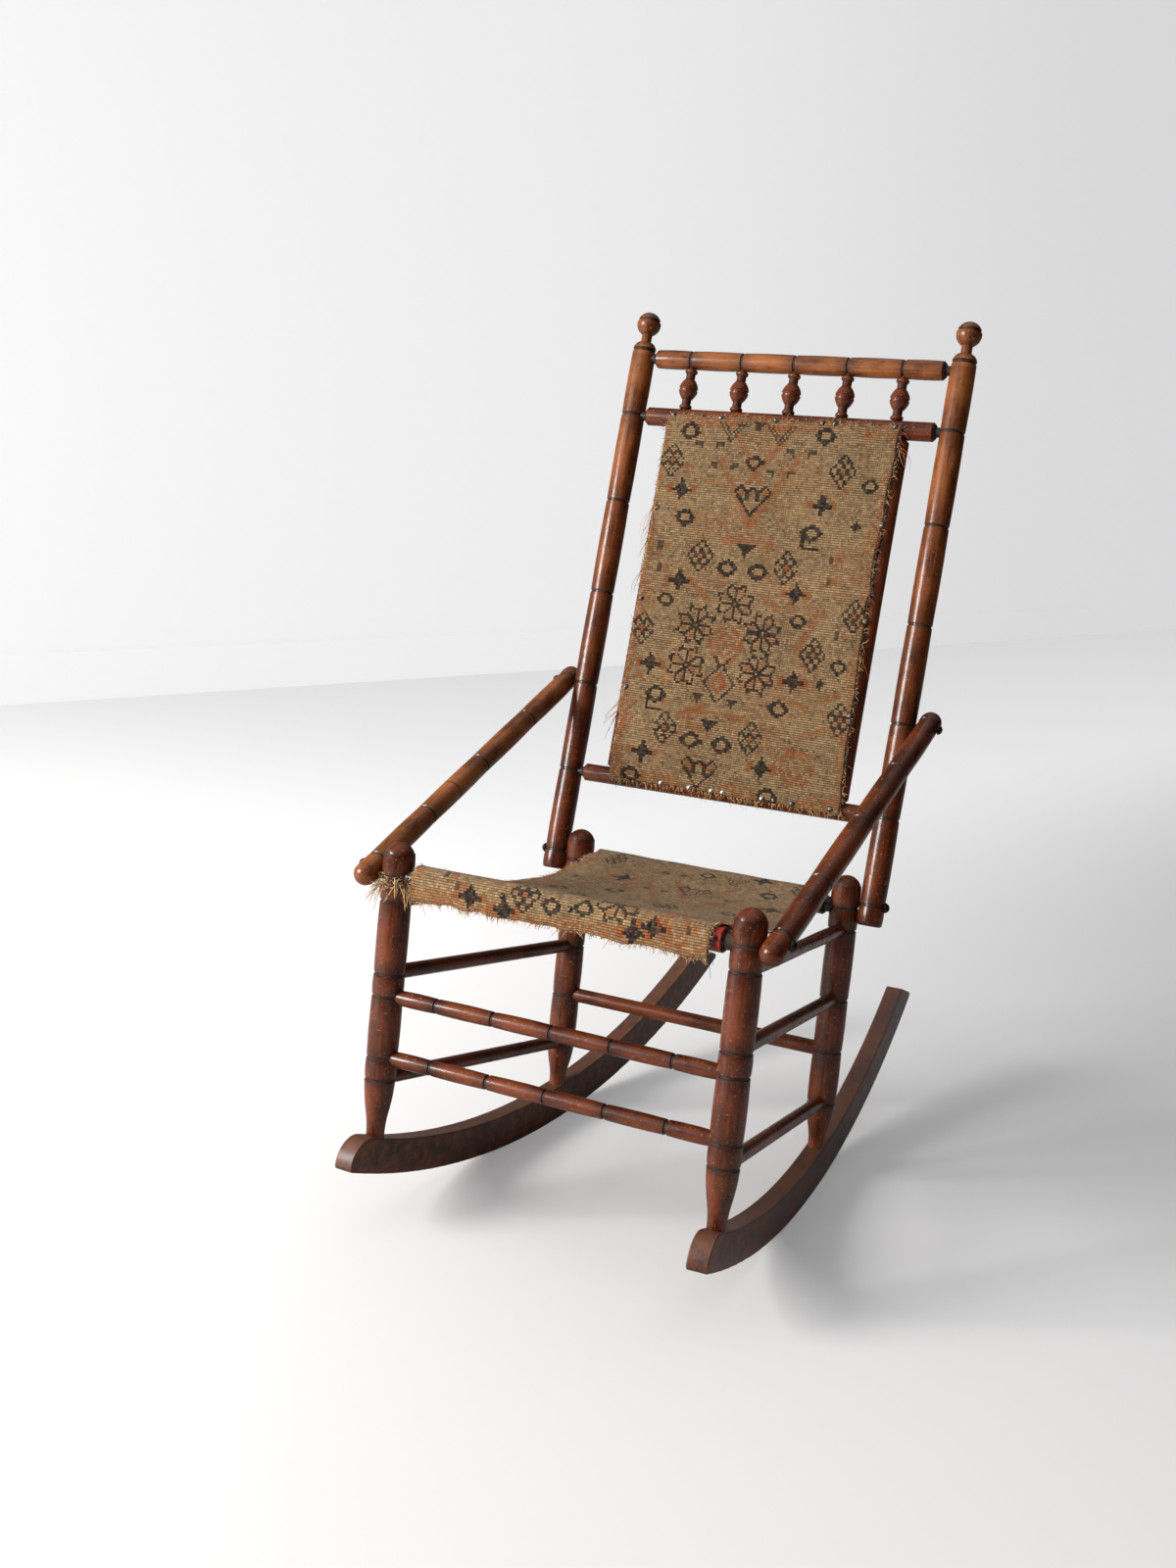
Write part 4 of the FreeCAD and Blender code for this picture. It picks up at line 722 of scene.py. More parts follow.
# Each motif with the place of its middle: shares of the width from -X and of the height from
# the top, or on the seat shares of the run from the flap's edge.
BACK_MOTIFS = (
    (hatched_chevron, 0.296, 0.039), (hatched_chevron, 0.510, 0.041), (small_triangle, 0.41, 0.02),
    (stepped_ring, 0.112, 0.044), (stepped_ring, 0.700, 0.034), (dash_pair, 0.206, 0.073),
    (dash_pair, 0.607, 0.081), (dash_pair, 0.285, 0.128), (dash_pair, 0.534, 0.138),
    (small_ring, 0.413, 0.117), (lattice_rosette, 0.051, 0.126), (lattice_rosette, 0.796, 0.124),
    (small_ring, 0.926, 0.158), (armed_cross, 0.113, 0.202), (armed_cross, 0.733, 0.216),
    (pointed_heart, 0.426, 0.214), (stepped_ring, 0.149, 0.278), (small_cross, 0.894, 0.265),
    (tailed_ring, 0.707, 0.291), (dark_fleck, 0.815, 0.356), (dark_fleck, 0.812, 0.412),
    (bracketed_triangle, 0.434, 0.352), (lattice_rosette, 0.244, 0.377),
    (lattice_rosette, 0.620, 0.387), (stepped_ring, 0.367, 0.404), (stepped_ring, 0.502, 0.406),
    (armed_cross, 0.171, 0.449), (armed_cross, 0.680, 0.453), (dark_fleck, 0.06, 0.36),
    (dark_fleck, 0.075, 0.42), (eight_point_star, 0.427, 0.496), (lattice_rosette, 0.955, 0.495),
    (small_ring, 0.123, 0.505), (small_ring, 0.710, 0.524), (dark_fleck, 0.887, 0.548),
    (eight_point_star, 0.272, 0.563), (eight_point_star, 0.563, 0.567),
    (lattice_rosette, 0.043, 0.589), (lattice_rosette, 0.796, 0.606), (rust_medallion, 0.413, 0.607),
    (small_ring, 0.916, 0.630), (eight_point_star, 0.258, 0.675), (eight_point_star, 0.568, 0.674),
    (armed_cross, 0.102, 0.682), (armed_cross, 0.728, 0.682), (small_cross, 0.845, 0.677),
    (flower_outline, 0.412, 0.711), (small_triangle, 0.33, 0.755), (small_triangle, 0.48, 0.76),
    (stepped_ring, 0.684, 0.757), (tailed_ring, 0.149, 0.761), (lattice_rosette, 0.953, 0.761),
    (bracketed_triangle, 0.399, 0.824), (lattice_rosette, 0.208, 0.848),
    (lattice_rosette, 0.585, 0.843), (rust_stroke, 0.77, 0.86), (rust_medallion, 0.80, 0.90),
    (stepped_ring, 0.330, 0.871), (stepped_ring, 0.466, 0.873), (armed_cross, 0.133, 0.919),
    (armed_cross, 0.653, 0.915), (pointed_heart, 0.388, 0.951), (stepped_ring, 0.091, 0.985),
    (stepped_ring, 0.690, 0.985),
)
# Rust lines from one place to another, in the same shares as the motifs.
BACK_RUST_LINES = (
    (0.27, 0.12, 0.43, 0.285), (0.43, 0.285, 0.60, 0.10), (0.33, 0.05, 0.45, 0.17),
    (0.53, 0.05, 0.40, 0.17), (0.24, 0.46, 0.30, 0.49), (0.55, 0.47, 0.62, 0.50),
    (0.33, 0.33, 0.54, 0.33), (0.28, 0.80, 0.36, 0.78), (0.47, 0.79, 0.56, 0.80),
    (0.72, 0.60, 0.80, 0.50), (0.80, 0.82, 0.93, 0.78), (0.85, 0.72, 0.93, 0.70),
)
SEAT_MOTIFS = (
    (armed_cross, 0.209, 0.034), (armed_cross, 0.325, 0.019), (lattice_rosette, 0.387, 0.062),
    (small_ring, 0.477, 0.046), (small_ring, 0.581, 0.056), (eight_point_star, 0.679, 0.088),
    (armed_cross, 0.747, 0.024), (armed_cross, 0.805, 0.046), (rust_medallion, 0.875, 0.06),
    (dark_fleck, 0.92, 0.05), (dark_fleck, 0.115, 0.075), (dark_fleck, 0.16, 0.05),
    (eight_point_star, 0.30, 0.17), (rust_medallion, 0.52, 0.155), (stepped_ring, 0.48, 0.205),
    (lattice_rosette, 0.80, 0.185), (dark_fleck, 0.66, 0.20), (armed_cross, 0.17, 0.25),
    (eight_point_star, 0.86, 0.29), (stepped_ring, 0.66, 0.30), (lattice_rosette, 0.13, 0.38),
    (tailed_ring, 0.37, 0.34), (flower_outline, 0.55, 0.375), (bracketed_triangle, 0.76, 0.41),
    (stepped_ring, 0.29, 0.46), (armed_cross, 0.91, 0.46), (stepped_ring, 0.16, 0.53),
    (lattice_rosette, 0.58, 0.53), (stepped_ring, 0.321, 0.615), (small_ring, 0.79, 0.585),
    (armed_cross, 0.251, 0.753), (dark_fleck, 0.085, 0.70), (armed_cross, 0.895, 0.70),
    (dash_pair, 0.43, 0.70), (pointed_heart, 0.558, 0.737), (dash_pair, 0.68, 0.72),
    (lattice_rosette, 0.123, 0.872), (dash_pair, 0.409, 0.845), (small_ring, 0.536, 0.87),
    (stepped_ring, 0.83, 0.81), (hatched_chevron, 0.66, 0.86), (dash_pair, 0.31, 0.925),
    (armed_cross, 0.76, 0.90), (lattice_rosette, 0.93, 0.885),
)
SEAT_RUST_LINES = (
    (0.36, 0.76, 0.57, 0.50), (0.57, 0.50, 0.76, 0.74), (0.45, 0.80, 0.57, 0.66),
    (0.70, 0.82, 0.57, 0.66), (0.30, 0.30, 0.52, 0.24), (0.62, 0.24, 0.86, 0.36),
    (0.10, 0.60, 0.20, 0.58), (0.80, 0.52, 0.92, 0.58), (0.30, 0.70, 0.36, 0.62),
)


PALE_SHARE = 1.18
STITCH_MOTTLE = 0.20
ROW_MOTTLE = 0.04
CLOUD_MOTTLE = 0.10
YARN_MOTTLE = 0.16
GROUND_SHARE = 0.94
TONE_LIMITS = (0.35, 1.6)
WEAR_LIMITS = (0.78, 1.06)
STAIN_STRENGTH = 0.24
RIM_STRENGTH = 0.5
LINE_STRENGTH = 0.48
LINE_HALF_WIDTH = 1.5
STROKE_STRENGTH = 0.38
STROKE_COUNT = 70
STROKE_HALF_LENGTHS = (1.2, 3.4)
STROKE_HALF_WIDTH = 0.9
HAIR_SIZE = 1.1 * MM
BACKING_TONES = (0.8, 1.1)


def near_line(x, y, line, half_width):
    """Where a grid is nearer than half_width to a straight line between two points."""
    start, end = np.array(line[:2]), np.array(line[2:])
    run = end - start
    share = np.clip(((x - start[0]) * run[0] + (y - start[1]) * run[1]) / (run @ run), 0, 1)
    return np.hypot(x - start[0] - share * run[0], y - start[1] - share * run[1]) < half_width


def woven_dyes(rows, columns, motifs, rust_lines, flip, seed):
    """One linear colour for each stitch: mottled ground, rust lines and flecks, then motifs.

    Row 0 is the lower or front edge. A flipped carpet has its motifs placed from the top.
    """
    chosen = settings().carpet
    colours = {name: np.array(getattr(chosen, name)[:3]) for name in ("ground", "navy", "rust")}
    colours["pale"] = colours["ground"] * PALE_SHARE
    random = np.random.default_rng(seed)
    dyes = np.empty((rows, columns, 3))
    tone = 1 + STITCH_MOTTLE * random.normal(size=(rows, columns))
    tone += ROW_MOTTLE * random.normal(size=(rows, 1))
    tone += CLOUD_MOTTLE * smooth_noise((rows, columns), (9, 6), seed + 1)
    tone += YARN_MOTTLE * smooth_noise((rows, columns), (rows // 2, columns // 3), seed + 3)
    dyes[:] = colours["ground"] * np.clip(tone * GROUND_SHARE, *TONE_LIMITS)[..., None]
    y, x = np.mgrid[0:rows, 0:columns] + 0.5

    def lay(mask, name, strength):
        """Lay a dye over stitches, unevenly, as worn wool takes it."""
        cover = mask * strength * random.uniform(*WEAR_LIMITS, mask.shape)
        dyes[:] = dyes * (1 - cover[..., None]) + colours[name] * cover[..., None]

    stains = smooth_noise((rows, columns), (14, 9), seed + 2)
    speckle = random.uniform(0, 1, (rows, columns))
    lay((stains > 0.25) & (speckle < 0.5), "rust", STAIN_STRENGTH)
    rim = np.minimum(np.minimum(x, columns - x), np.minimum(y, rows - y))
    lay((rim < 4 + 3 * stains) & (speckle < 0.62), "rust", RIM_STRENGTH)
    for u0, v0, u1, v1 in rust_lines:
        ends = (u0 * columns, v0 * rows, u1 * columns, v1 * rows)
        lay(near_line(x, rows - y if flip else y, ends, LINE_HALF_WIDTH), "rust", LINE_STRENGTH)
    for place in random.uniform(0.04, 0.96, (STROKE_COUNT, 2)):
        flat = np.abs(x - place[0] * columns) < random.uniform(*STROKE_HALF_LENGTHS)
        lay(flat & (np.abs(y - place[1] * rows) < STROKE_HALF_WIDTH), "rust", STROKE_STRENGTH)
    for motif, u, v in motifs:
        down = (rows - y) - v * rows if flip else v * rows - y
        for mask, name, strength in motif(x - u * columns, down):
            lay(mask, name, strength)
    return dyes


def woven_wool(name):
    """Carpet woven in rows of single wool stitches, worn and hairy.

    The eye gets a bead for each stitch, painted shade on each bead's sides and in the gaps between the rows, and a
    dry, hazy sheen.
    The gaps follow the stitch places in the mesh's own map.
    """
    material, tree = new_material(name)
    dye = node(tree, "ShaderNodeAttribute", {"attribute_name": DYE}).outputs["Color"]
    wave = node(tree, "ShaderNodeUVMap", {"uv_map": STITCHES}).outputs["UV"]
    for operation, inputs in (("SCALE", {"Scale": math.pi}), ("SINE", {}), ("ABSOLUTE", {})):
        wave = node(tree, "ShaderNodeVectorMath", {"operation": operation}, {
            0: wave, **inputs}).outputs["Vector"]
    parts = node(tree, "ShaderNodeSeparateXYZ", {}, {0: wave}).outputs
    place = node(tree, "ShaderNodeTexCoord").outputs["Object"]
    hairs = node(tree, "ShaderNodeTexNoise", {}, {
        "Vector": place, "Scale": 1 / HAIR_SIZE, "Detail": 3.0, "Roughness": 0.7}).outputs["Fac"]
    bead = steps_product(tree, ((parts["X"], 0.0, 0.55, 0.5, 1.0), (parts["Y"], 0.0, 0.8, 0.0, 1.0)))
    # Painted shade: the dye darkens on each bead's sides and between the rows; the hairs add random tone.
    painted_gap_shade_and_hairs = steps_product(tree, ((bead, 0.0, 0.9, 0.12, 1.0), (hairs, 0.25, 0.7, 0.72, 1.0)))
    wool = node(tree, "ShaderNodeMix", TINT, {0: painted_gap_shade_and_hairs, 6: linear("#21170D"), 7: dye}).outputs[2]
    height = node(tree, "ShaderNodeMix", MEAN, {0: 0.25, 2: bead, 3: hairs}).outputs[0]
    relief = node(tree, "ShaderNodeBump", {}, {
        "Strength": 0.8, "Distance": 0.9 * MM, "Height": height}).outputs["Normal"]
    shader = node(tree, "ShaderNodeBsdfPrincipled", {}, {
        "Base Color": wool, "Roughness": 0.93, "Normal": relief, "Specular IOR Level": 0.15,
        "Sheen Weight": 0.05, "Sheen Roughness": 0.5})
    node(tree, "ShaderNodeOutputMaterial", {}, {"Surface": shader.outputs["BSDF"]})
    return material


def loose_wool(name):
    """Frayed wool and jute ends; the eye gets soft, matt fibres in their own dyes."""
    material, tree = new_material(name)
    dye = node(tree, "ShaderNodeAttribute", {"attribute_name": DYE}).outputs["Color"]
    shader = node(tree, "ShaderNodeBsdfPrincipled", {}, {
        "Base Color": dye, "Roughness": 0.9, "Specular IOR Level": 0.2, "Sheen Weight": 0.2})
    node(tree, "ShaderNodeOutputMaterial", {}, {"Surface": shader.outputs["BSDF"]})
    return material


def carpet_shell(name, outer, inner, dyes, edge_dyes, body):
    """A closed sheet between two grids of points, whose rows run up or back and columns to +X.

    The outer grid's faces carry one dye each, the inner grid's the backing, and four strips
    close the edges.
    """
    rows, columns = outer.shape[:2]
    front = np.arange(rows * columns).reshape(rows, columns)
    rear = front + rows * columns

    def strip(first, second):
        """Quads between two lines of points."""
        return np.stack([first[:-1], first[1:], second[1:], second[:-1]], axis=-1)

    grid = np.stack([front[:-1, :-1], front[:-1, 1:], front[1:, 1:], front[1:, :-1]], axis=-1)
    faces = np.concatenate([
        grid.reshape(-1, 4),
        grid.reshape(-1, 4)[:, ::-1] + rows * columns,
        strip(rear[0], front[0]),
        strip(front[-1], rear[-1]),
        strip(rear[:, 0], front[:, 0])[:, [0, 3, 2, 1]],
        strip(front[:, -1], rear[:, -1])[:, [0, 3, 2, 1]],
    ])
    count = (rows - 1) * (columns - 1)
    v, u = np.divmod(np.arange(count), columns - 1)
    corners = np.stack([np.stack([u + du, v + dv], axis=-1) for du, dv in
                        ((0, 0), (1, 0), (1, 1), (0, 1))], axis=1).astype(float)
    cells = np.full((len(faces), 4, 2), 0.5)
    cells[:count] = corners
    cells[count:2 * count] = corners[:, ::-1]
    backing = np.array(settings().carpet.backing[:3])
    random = np.random.default_rng(settings().loose.seed)
    rear_dyes = backing * random.uniform(*BACKING_TONES, (count, 1))
    colours = np.concatenate([dyes.reshape(-1, 3), rear_dyes, edge_dyes(len(faces) - 2 * count, random)])
    points = np.concatenate([outer.reshape(-1, 3), inner.reshape(-1, 3)])
    return new_piece(name, points, faces.tolist(), woven_wool(f"woven_wool_{name}"), body,
                     colours, cells)


def puffed(rows, columns, tacks, reach):
    """How far a nailed carpet stands proud: 1 away from its tacks, 0 at a tack's head.

    Each tack takes off exp(-distance squared / reach squared), counted in stitches.
    """
    relief = np.ones((rows, columns))
    y, x = np.mgrid[0:rows, 0:columns]
    for column, row in tacks:
        relief *= 1 - np.exp(-((x - column) ** 2 + (y - row) ** 2) / reach ** 2)
    return relief


HEAD_WIDTH = 6.5 * MM


def tack_places(name):
    """The middles of a node's tacks, found one by one among its vertices."""
    left = vertex_places(frame["nodes"][name])
    middles = []
    while len(left):
        head = np.linalg.norm(left - left[0], axis=1) < HEAD_WIDTH
        middles.append((left[head].min(0) + left[head].max(0)) / 2)
        left = left[~head]
    return np.array(middles)


# In millimetres of the back frame: the corners of the back's carpet (low -X, low +X, high +X
# and high -X), and how far its -X and +X sides bow towards +X halfway up.
BACK_CORNERS = ((-136, 94), (143, 90.6), (138, 519), (-140, 520))
BACK_SIDE_BOWS = (-1.0, -7.0)
BACK_FACE = -13.2 * MM
BACK_BELLY = 2.6 * MM
BACK_EASE = 0.5 * MM
BACK_RIPPLE = 0.5 * MM
BACK_SIDE_WANDER = 1.4 * MM
BACK_END_WANDER = 1.3 * MM
TACK_DIMPLE = 0.7 * MM
TACK_REACH = 5.5
RAGGED_SHARES = (0.45, 0.2, 0.1, 0.25)


def back_grid(rows, columns):
    """Places of the back's front face in the back frame.

    The four corners are joined evenly. The sides wander, the middle hangs back a little, and
    the cloth lies closer to the wood at each tack.
    """
    low_left, low_right, high_right, high_left = np.array(BACK_CORNERS) * MM
    v, u = np.meshgrid(np.linspace(0, 1, rows), np.linspace(0, 1, columns), indexing="ij")
    flat = ((1 - u) * (1 - v))[..., None] * low_left + (u * (1 - v))[..., None] * low_right
    flat += (u * v)[..., None] * high_right + ((1 - u) * v)[..., None] * high_left
    sides = smooth_noise((rows, 2), (26, 1), 31) * BACK_SIDE_WANDER
    sides += np.array(BACK_SIDE_BOWS) * MM * np.sin(np.pi * v[:, :1]) ** 0.7
    ends = smooth_noise((2, columns), (1, 17), 32) * BACK_END_WANDER
    flat[..., 0] += sides[:, :1] * (1 - u) ** 4 + sides[:, 1:] * u ** 4
    flat[..., 1] += ends[:1] * (1 - v) ** 12 + ends[1:] * v ** 12
    tacks = (tack_places("back_tacks") - PIVOT) @ np.stack([(1, 0, 0), BACK_UP], axis=1)
    width, height = low_right[0] - low_left[0], high_left[1] - low_left[1]
    spots = [((x - low_left[0]) / width * columns, (z - low_left[1]) / height * rows)
             for x, z in tacks]
    swell = np.sin(np.pi * np.clip(v * 1.04 - 0.02, 0, 1)) * np.sin(np.pi * np.clip(u, 0, 1))
    belly = BACK_BELLY * np.clip(swell, 0, 1) ** 0.8
    ripple = smooth_noise((rows, columns), (13, 9), 33) * BACK_RIPPLE
    proud = puffed(rows, columns, spots, TACK_REACH) * TACK_DIMPLE
    depth = BACK_FACE + belly + ripple - proud + BACK_EASE
    return np.stack([flat[..., 0], depth, flat[..., 1]], axis=-1)


def faded_edges(count, random):
    """Mixed dyes of the back's cut edge: backing, rust, navy and ground ends."""
    chosen = settings().carpet
    kinds = np.array([chosen.backing[:3], chosen.rust[:3], chosen.navy[:3], chosen.ground[:3]])
    return kinds[random.choice(4, count, p=RAGGED_SHARES)]


class ROCKER_OT_back_carpet(bpy.types.Operator):
    """Weave the worn carpet panel that is nailed to the front of the back"""
    bl_idname = "rocker.back_carpet"
    bl_label = "Back Carpet"

    def execute(self, context):
        chosen = settings().carpet
        width = (BACK_CORNERS[1][0] - BACK_CORNERS[0][0]) * MM
        height = (BACK_CORNERS[3][1] - BACK_CORNERS[0][1]) * MM
        columns, rows = round(width / chosen.stitch), round(height / chosen.stitch)
        outer = back_grid(rows + 1, columns + 1)
        inner = outer + np.array((0, chosen.thickness, 0))
        dyes = woven_dyes(rows, columns, BACK_MOTIFS, BACK_RUST_LINES, True, 11)
        piece = carpet_shell("back_carpet_woven", in_back_frame(outer), in_back_frame(inner),
                             dyes, faded_edges, "back")
        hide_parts("back_carpet")
        return {"FINISHED"}


SAG_RADIUS = 660 * MM
SEAT_FLAP = 17 * MM
SEAT_TUCK = 8 * MM
SEAT_FRONT_HALF = 161.5 * MM
SEAT_REAR_HALF = 135.5 * MM
# Painted light: the seat's dyes are lightened, as if its upturned face caught more of the window's light.
SEAT_PAINTED_LIGHT = 1.2
SEAT_SIDE_WANDER = 1.5 * MM
SEAT_RIPPLE = 0.5 * MM
SEAT_CUT_BACK = 9 * MM
REAR_FULLNESS = 1.9 * MM
SIDE_HOLLOW = 3.2 * MM
FLAP_PUCKER = 1.3 * MM
FLAP_WANDER = 1.6 * MM
# Spans are shares of the run from the flap's edge to the tuck: first where something is whole,
# then where it has died out. The fullest and the hollowest places have their share and reach.
ON_FRONT_RAIL = (0.14, 0.24)
ON_REAR_RAIL = (0.88, 0.76)
CUT_BACK_END = (0.075, 0.105)
PUCKER_END = (0.005, 0.055)
FLAP_END = (0.0, 0.03)
FULLEST = (0.885, 0.055)
HOLLOWEST = (0.62, 0.16)
HEM_SHARES = (0.6, 0.28, 0.12)
HEM_DARKNESS = 0.8


def ramp(share, span):
    """1 before the span's first share of the way, 0 past its second, even between them."""
    full, none = span
    return np.clip((none - share) / (none - full), 0, 1)


def bump(share, hump):
    """A smooth hump of height 1, given by the share at its top and its reach."""
    top, reach = hump
    return np.exp(-((share - top) / reach) ** 2)


def seat_path(offset, count):
    """The seat's run from its flap's lower edge over both rails, at a distance from the rails.

    It is a straight flap, an arc round the front rail, the sag's arc, an arc round the rear
    rail and a straight tuck. Gives the places, the outward directions, the shares of the run
    and the whole length.
    """
    spread, drop = LEG_SPACING, FRONT_RAIL_HEIGHT - REAR_RAIL_HEIGHT
    apart = math.hypot(spread, drop)
    wrap = RAIL_RADIUS + CARPET_GAP
    rise = math.sqrt((SAG_RADIUS + wrap) ** 2 - (apart / 2) ** 2)
    centre = np.array([spread / 2 + rise * drop / apart,
                       (FRONT_RAIL_HEIGHT + REAR_RAIL_HEIGHT) / 2 + rise * spread / apart])
    front, rear = np.array([0, FRONT_RAIL_HEIGHT]), np.array([spread, REAR_RAIL_HEIGHT])
    around = wrap + offset
    lean_front = math.atan2(*(centre - front)[::-1])
    lean_rear = math.atan2(*(centre - rear)[::-1])
    sag = SAG_RADIUS - offset
    lengths = (SEAT_FLAP, around * (math.pi - lean_front), sag * (lean_rear - lean_front),
               around * lean_rear, SEAT_TUCK)
    marks = np.concatenate([[0], np.cumsum(lengths)])
    along = np.linspace(0, marks[-1], count)
    local = [np.clip(along - start, 0, length) for start, length in zip(marks, lengths)]
    section = np.searchsorted(marks[1:-1], along, side="right")
    turn_front = math.pi - local[1] / around
    turn_sag = lean_front + math.pi + local[2] / sag
    turn_rear = lean_rear - local[3] / around
    outward = np.choose(section, [math.pi, turn_front, turn_sag + math.pi, turn_rear, 0.0])
    direction = np.stack([np.cos(outward), np.sin(outward)], axis=-1)
    places = np.select([(section == part)[:, None] for part in range(5)], [
        front + np.stack([-around + 0 * along, local[0] - SEAT_FLAP], axis=-1),
        front + around * direction,
        centre - sag * direction,
        rear + around * direction,
        rear + np.stack([around + 0 * along, -local[4]], axis=-1),
    ])
    return places, direction, along / marks[-1], marks[-1]


def seat_grid(rows, columns, thickness):
    """The seat's outer and inner faces in the leg frame.

    The width falls from the front rail to the rear rail, and the two sides wander. The cloth
    is fuller over the rear rail and hangs lower at its -X side. The flap puckers, and it is
    cut back at its +X corner, where the rail shows.
    """
    places, direction, share = seat_path(thickness, rows)[:3]
    inner_places = seat_path(0, rows)[0]
    share = share[:, None]
    u = np.linspace(-1, 1, columns)[None, :]
    depth = np.clip(places[:, :1] / LEG_SPACING, 0, 1)
    half = SEAT_FRONT_HALF + (SEAT_REAR_HALF - SEAT_FRONT_HALF) * depth
    wander = smooth_noise((rows, 2), (30, 1), 41) * SEAT_SIDE_WANDER
    x = u * half + wander[:, :1] * np.clip(-u, 0, 1) ** 9 + wander[:, 1:] * np.clip(u, 0, 1) ** 9
    x -= SEAT_CUT_BACK * np.clip(u, 0, 1) ** 6 * ramp(share, CUT_BACK_END)
    free = 1 - np.clip(ramp(share, ON_FRONT_RAIL) + ramp(share, ON_REAR_RAIL), 0, 1)
    swell = REAR_FULLNESS * bump(share, FULLEST)
    swell = swell + SEAT_RIPPLE * smooth_noise((rows, columns), (16, 8), 42)
    hollow = SIDE_HOLLOW * free * bump(share, HOLLOWEST) * np.clip(-u, 0, 1) ** 2
    waves = ramp(share, PUCKER_END) * smooth_noise((rows, columns), (1, 15), 43)
    swell = np.maximum(swell + np.abs(waves) * FLAP_PUCKER, -0.1 * MM) - hollow
    level = smooth_noise((2, columns), (1, 21), 44) * FLAP_WANDER
    drop = level[:1] * ramp(share, FLAP_END)

    def face(line):
        """One face of the cloth: the path moved outwards by the swell."""
        y = line[:, :1] + direction[:, :1] * swell
        z = line[:, 1:] + direction[:, 1:] * swell + drop
        return np.stack([x + 0 * y, y, z], axis=-1)

    return face(places), face(inner_places)


class ROCKER_OT_seat_carpet(bpy.types.Operator):
    """Weave the worn carpet that is wrapped over the two seat rails"""
    bl_idname = "rocker.seat_carpet"
    bl_label = "Seat Carpet"

    def execute(self, context):
        chosen = settings().carpet
        length = seat_path(chosen.thickness, 9)[3]
        columns = round(2 * SEAT_FRONT_HALF / chosen.stitch)
        rows = round(length / chosen.stitch)
        outer, inner = seat_grid(rows + 1, columns + 1, chosen.thickness)
        # The seat's dyes are lightened by painted light.
        dyes = woven_dyes(rows, columns, SEAT_MOTIFS, SEAT_RUST_LINES, False, 17) * SEAT_PAINTED_LIGHT
        piece = carpet_shell("seat_carpet_woven", in_leg_frame(outer), in_leg_frame(inner),
                             dyes, dark_edges, "base")
        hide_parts("seat_carpet")
        return {"FINISHED"}


def dark_edges(count, random):
    """Dyes of the dark hem along the seat's cut edges."""
    chosen = settings().carpet
    kinds = np.array([chosen.navy[:3], chosen.backing[:3], chosen.rust[:3]])
    return kinds[random.choice(3, count, p=HEM_SHARES)] * HEM_DARKNESS


THREAD_SHARES = (0.55, 0.2, 0.03, 0.22)
TUFT_SHARES = (0.3, 0.1, 0.12, 0.48)
CURL_SHARES = (0.05, 0.1, 0.35, 0.5)
YARN_SHARES = (0.62, 0.24, 0.02, 0.12)
THREAD_RINGS = 7
SWAY_TURN = 2.6
TIP_TAPER = 0.6
RUN_SPREAD = 0.8
RISE_SPREAD = 0.3


def thread_dyes(count, random, shares=THREAD_SHARES):
    """Dyes of loose threads: straw, ground, navy and rust in these shares."""
    chosen = settings().carpet
    kinds = np.array([chosen.straw[:3], chosen.ground[:3], chosen.navy[:3], chosen.rust[:3]])
    return kinds[random.choice(4, count, p=shares)] * random.uniform(0.75, 1.2, (count, 1))


def thread_bundle(name, starts, runs, sway, droop, radius, dyes, body):
    """Loose threads as one piece: three-sided tapered tubes with closed ends.

    The place at share t is start + run * t + sway * sin(SWAY_TURN * t) * t, less
    droop * t squared in height.
    """
    count, rings = len(starts), THREAD_RINGS
    share = np.linspace(0, 1, rings)[None, :, None]
    places = starts[:, None] + runs[:, None] * share
    places = places + sway[:, None] * np.sin(SWAY_TURN * share) * share
    places[..., 2] -= droop[:, None] * share[..., 0] ** 2
    ahead = np.gradient(places, axis=1)
    ahead /= np.linalg.norm(ahead, axis=-1, keepdims=True)
    side = np.cross(ahead, np.array((0.31, 0.87, 0.38)))
    side /= np.linalg.norm(side, axis=-1, keepdims=True)
    other = np.cross(ahead, side)
    turns = np.arange(3) * 2 * math.pi / 3
    spread = side[:, :, None] * np.cos(turns)[:, None] + other[:, :, None] * np.sin(turns)[:, None]
    wide = radius * (1 - TIP_TAPER * share)
    points = places[:, :, None] + spread * wide[..., None]
    index = np.arange(count * rings * 3).reshape(count, rings, 3)
    turned = np.roll(index, -1, axis=2)
    walls = np.stack([index[:, :-1], turned[:, :-1], turned[:, 1:], index[:, 1:]], axis=-1)
    faces = walls.reshape(-1, 4).tolist() + index[:, 0, ::-1].tolist() + index[:, -1].tolist()
    colours = np.concatenate([np.repeat(dyes, (rings - 1) * 3, axis=0), dyes, dyes])
    return new_piece(name, points, faces, loose_wool(f"loose_wool_{name}"), body, colours)


def edge_fray(line, outward, face_out, random, spacing, length):
    """Starts and runs of threads along an edge, most of them short and pointing outwards."""
    steps = np.linalg.norm(np.diff(line, axis=0), axis=1)
    marks = np.concatenate([[0], np.cumsum(steps)])
    count = int(marks[-1] / spacing)
    spots = np.sort(random.uniform(0, marks[-1], count))
    starts = np.stack([np.interp(spots, marks, line[:, axis]) for axis in range(3)], axis=-1)
    ahead = (line[-1] - line[0]) / np.linalg.norm(line[-1] - line[0])
    reach = length * np.clip(random.gamma(2.2, 0.42, count), 0, 2)[:, None]
    runs = outward + RUN_SPREAD * random.normal(size=(count, 1)) * ahead
    runs = runs + RISE_SPREAD * random.normal(size=(count, 1)) * face_out
    return starts, runs * reach


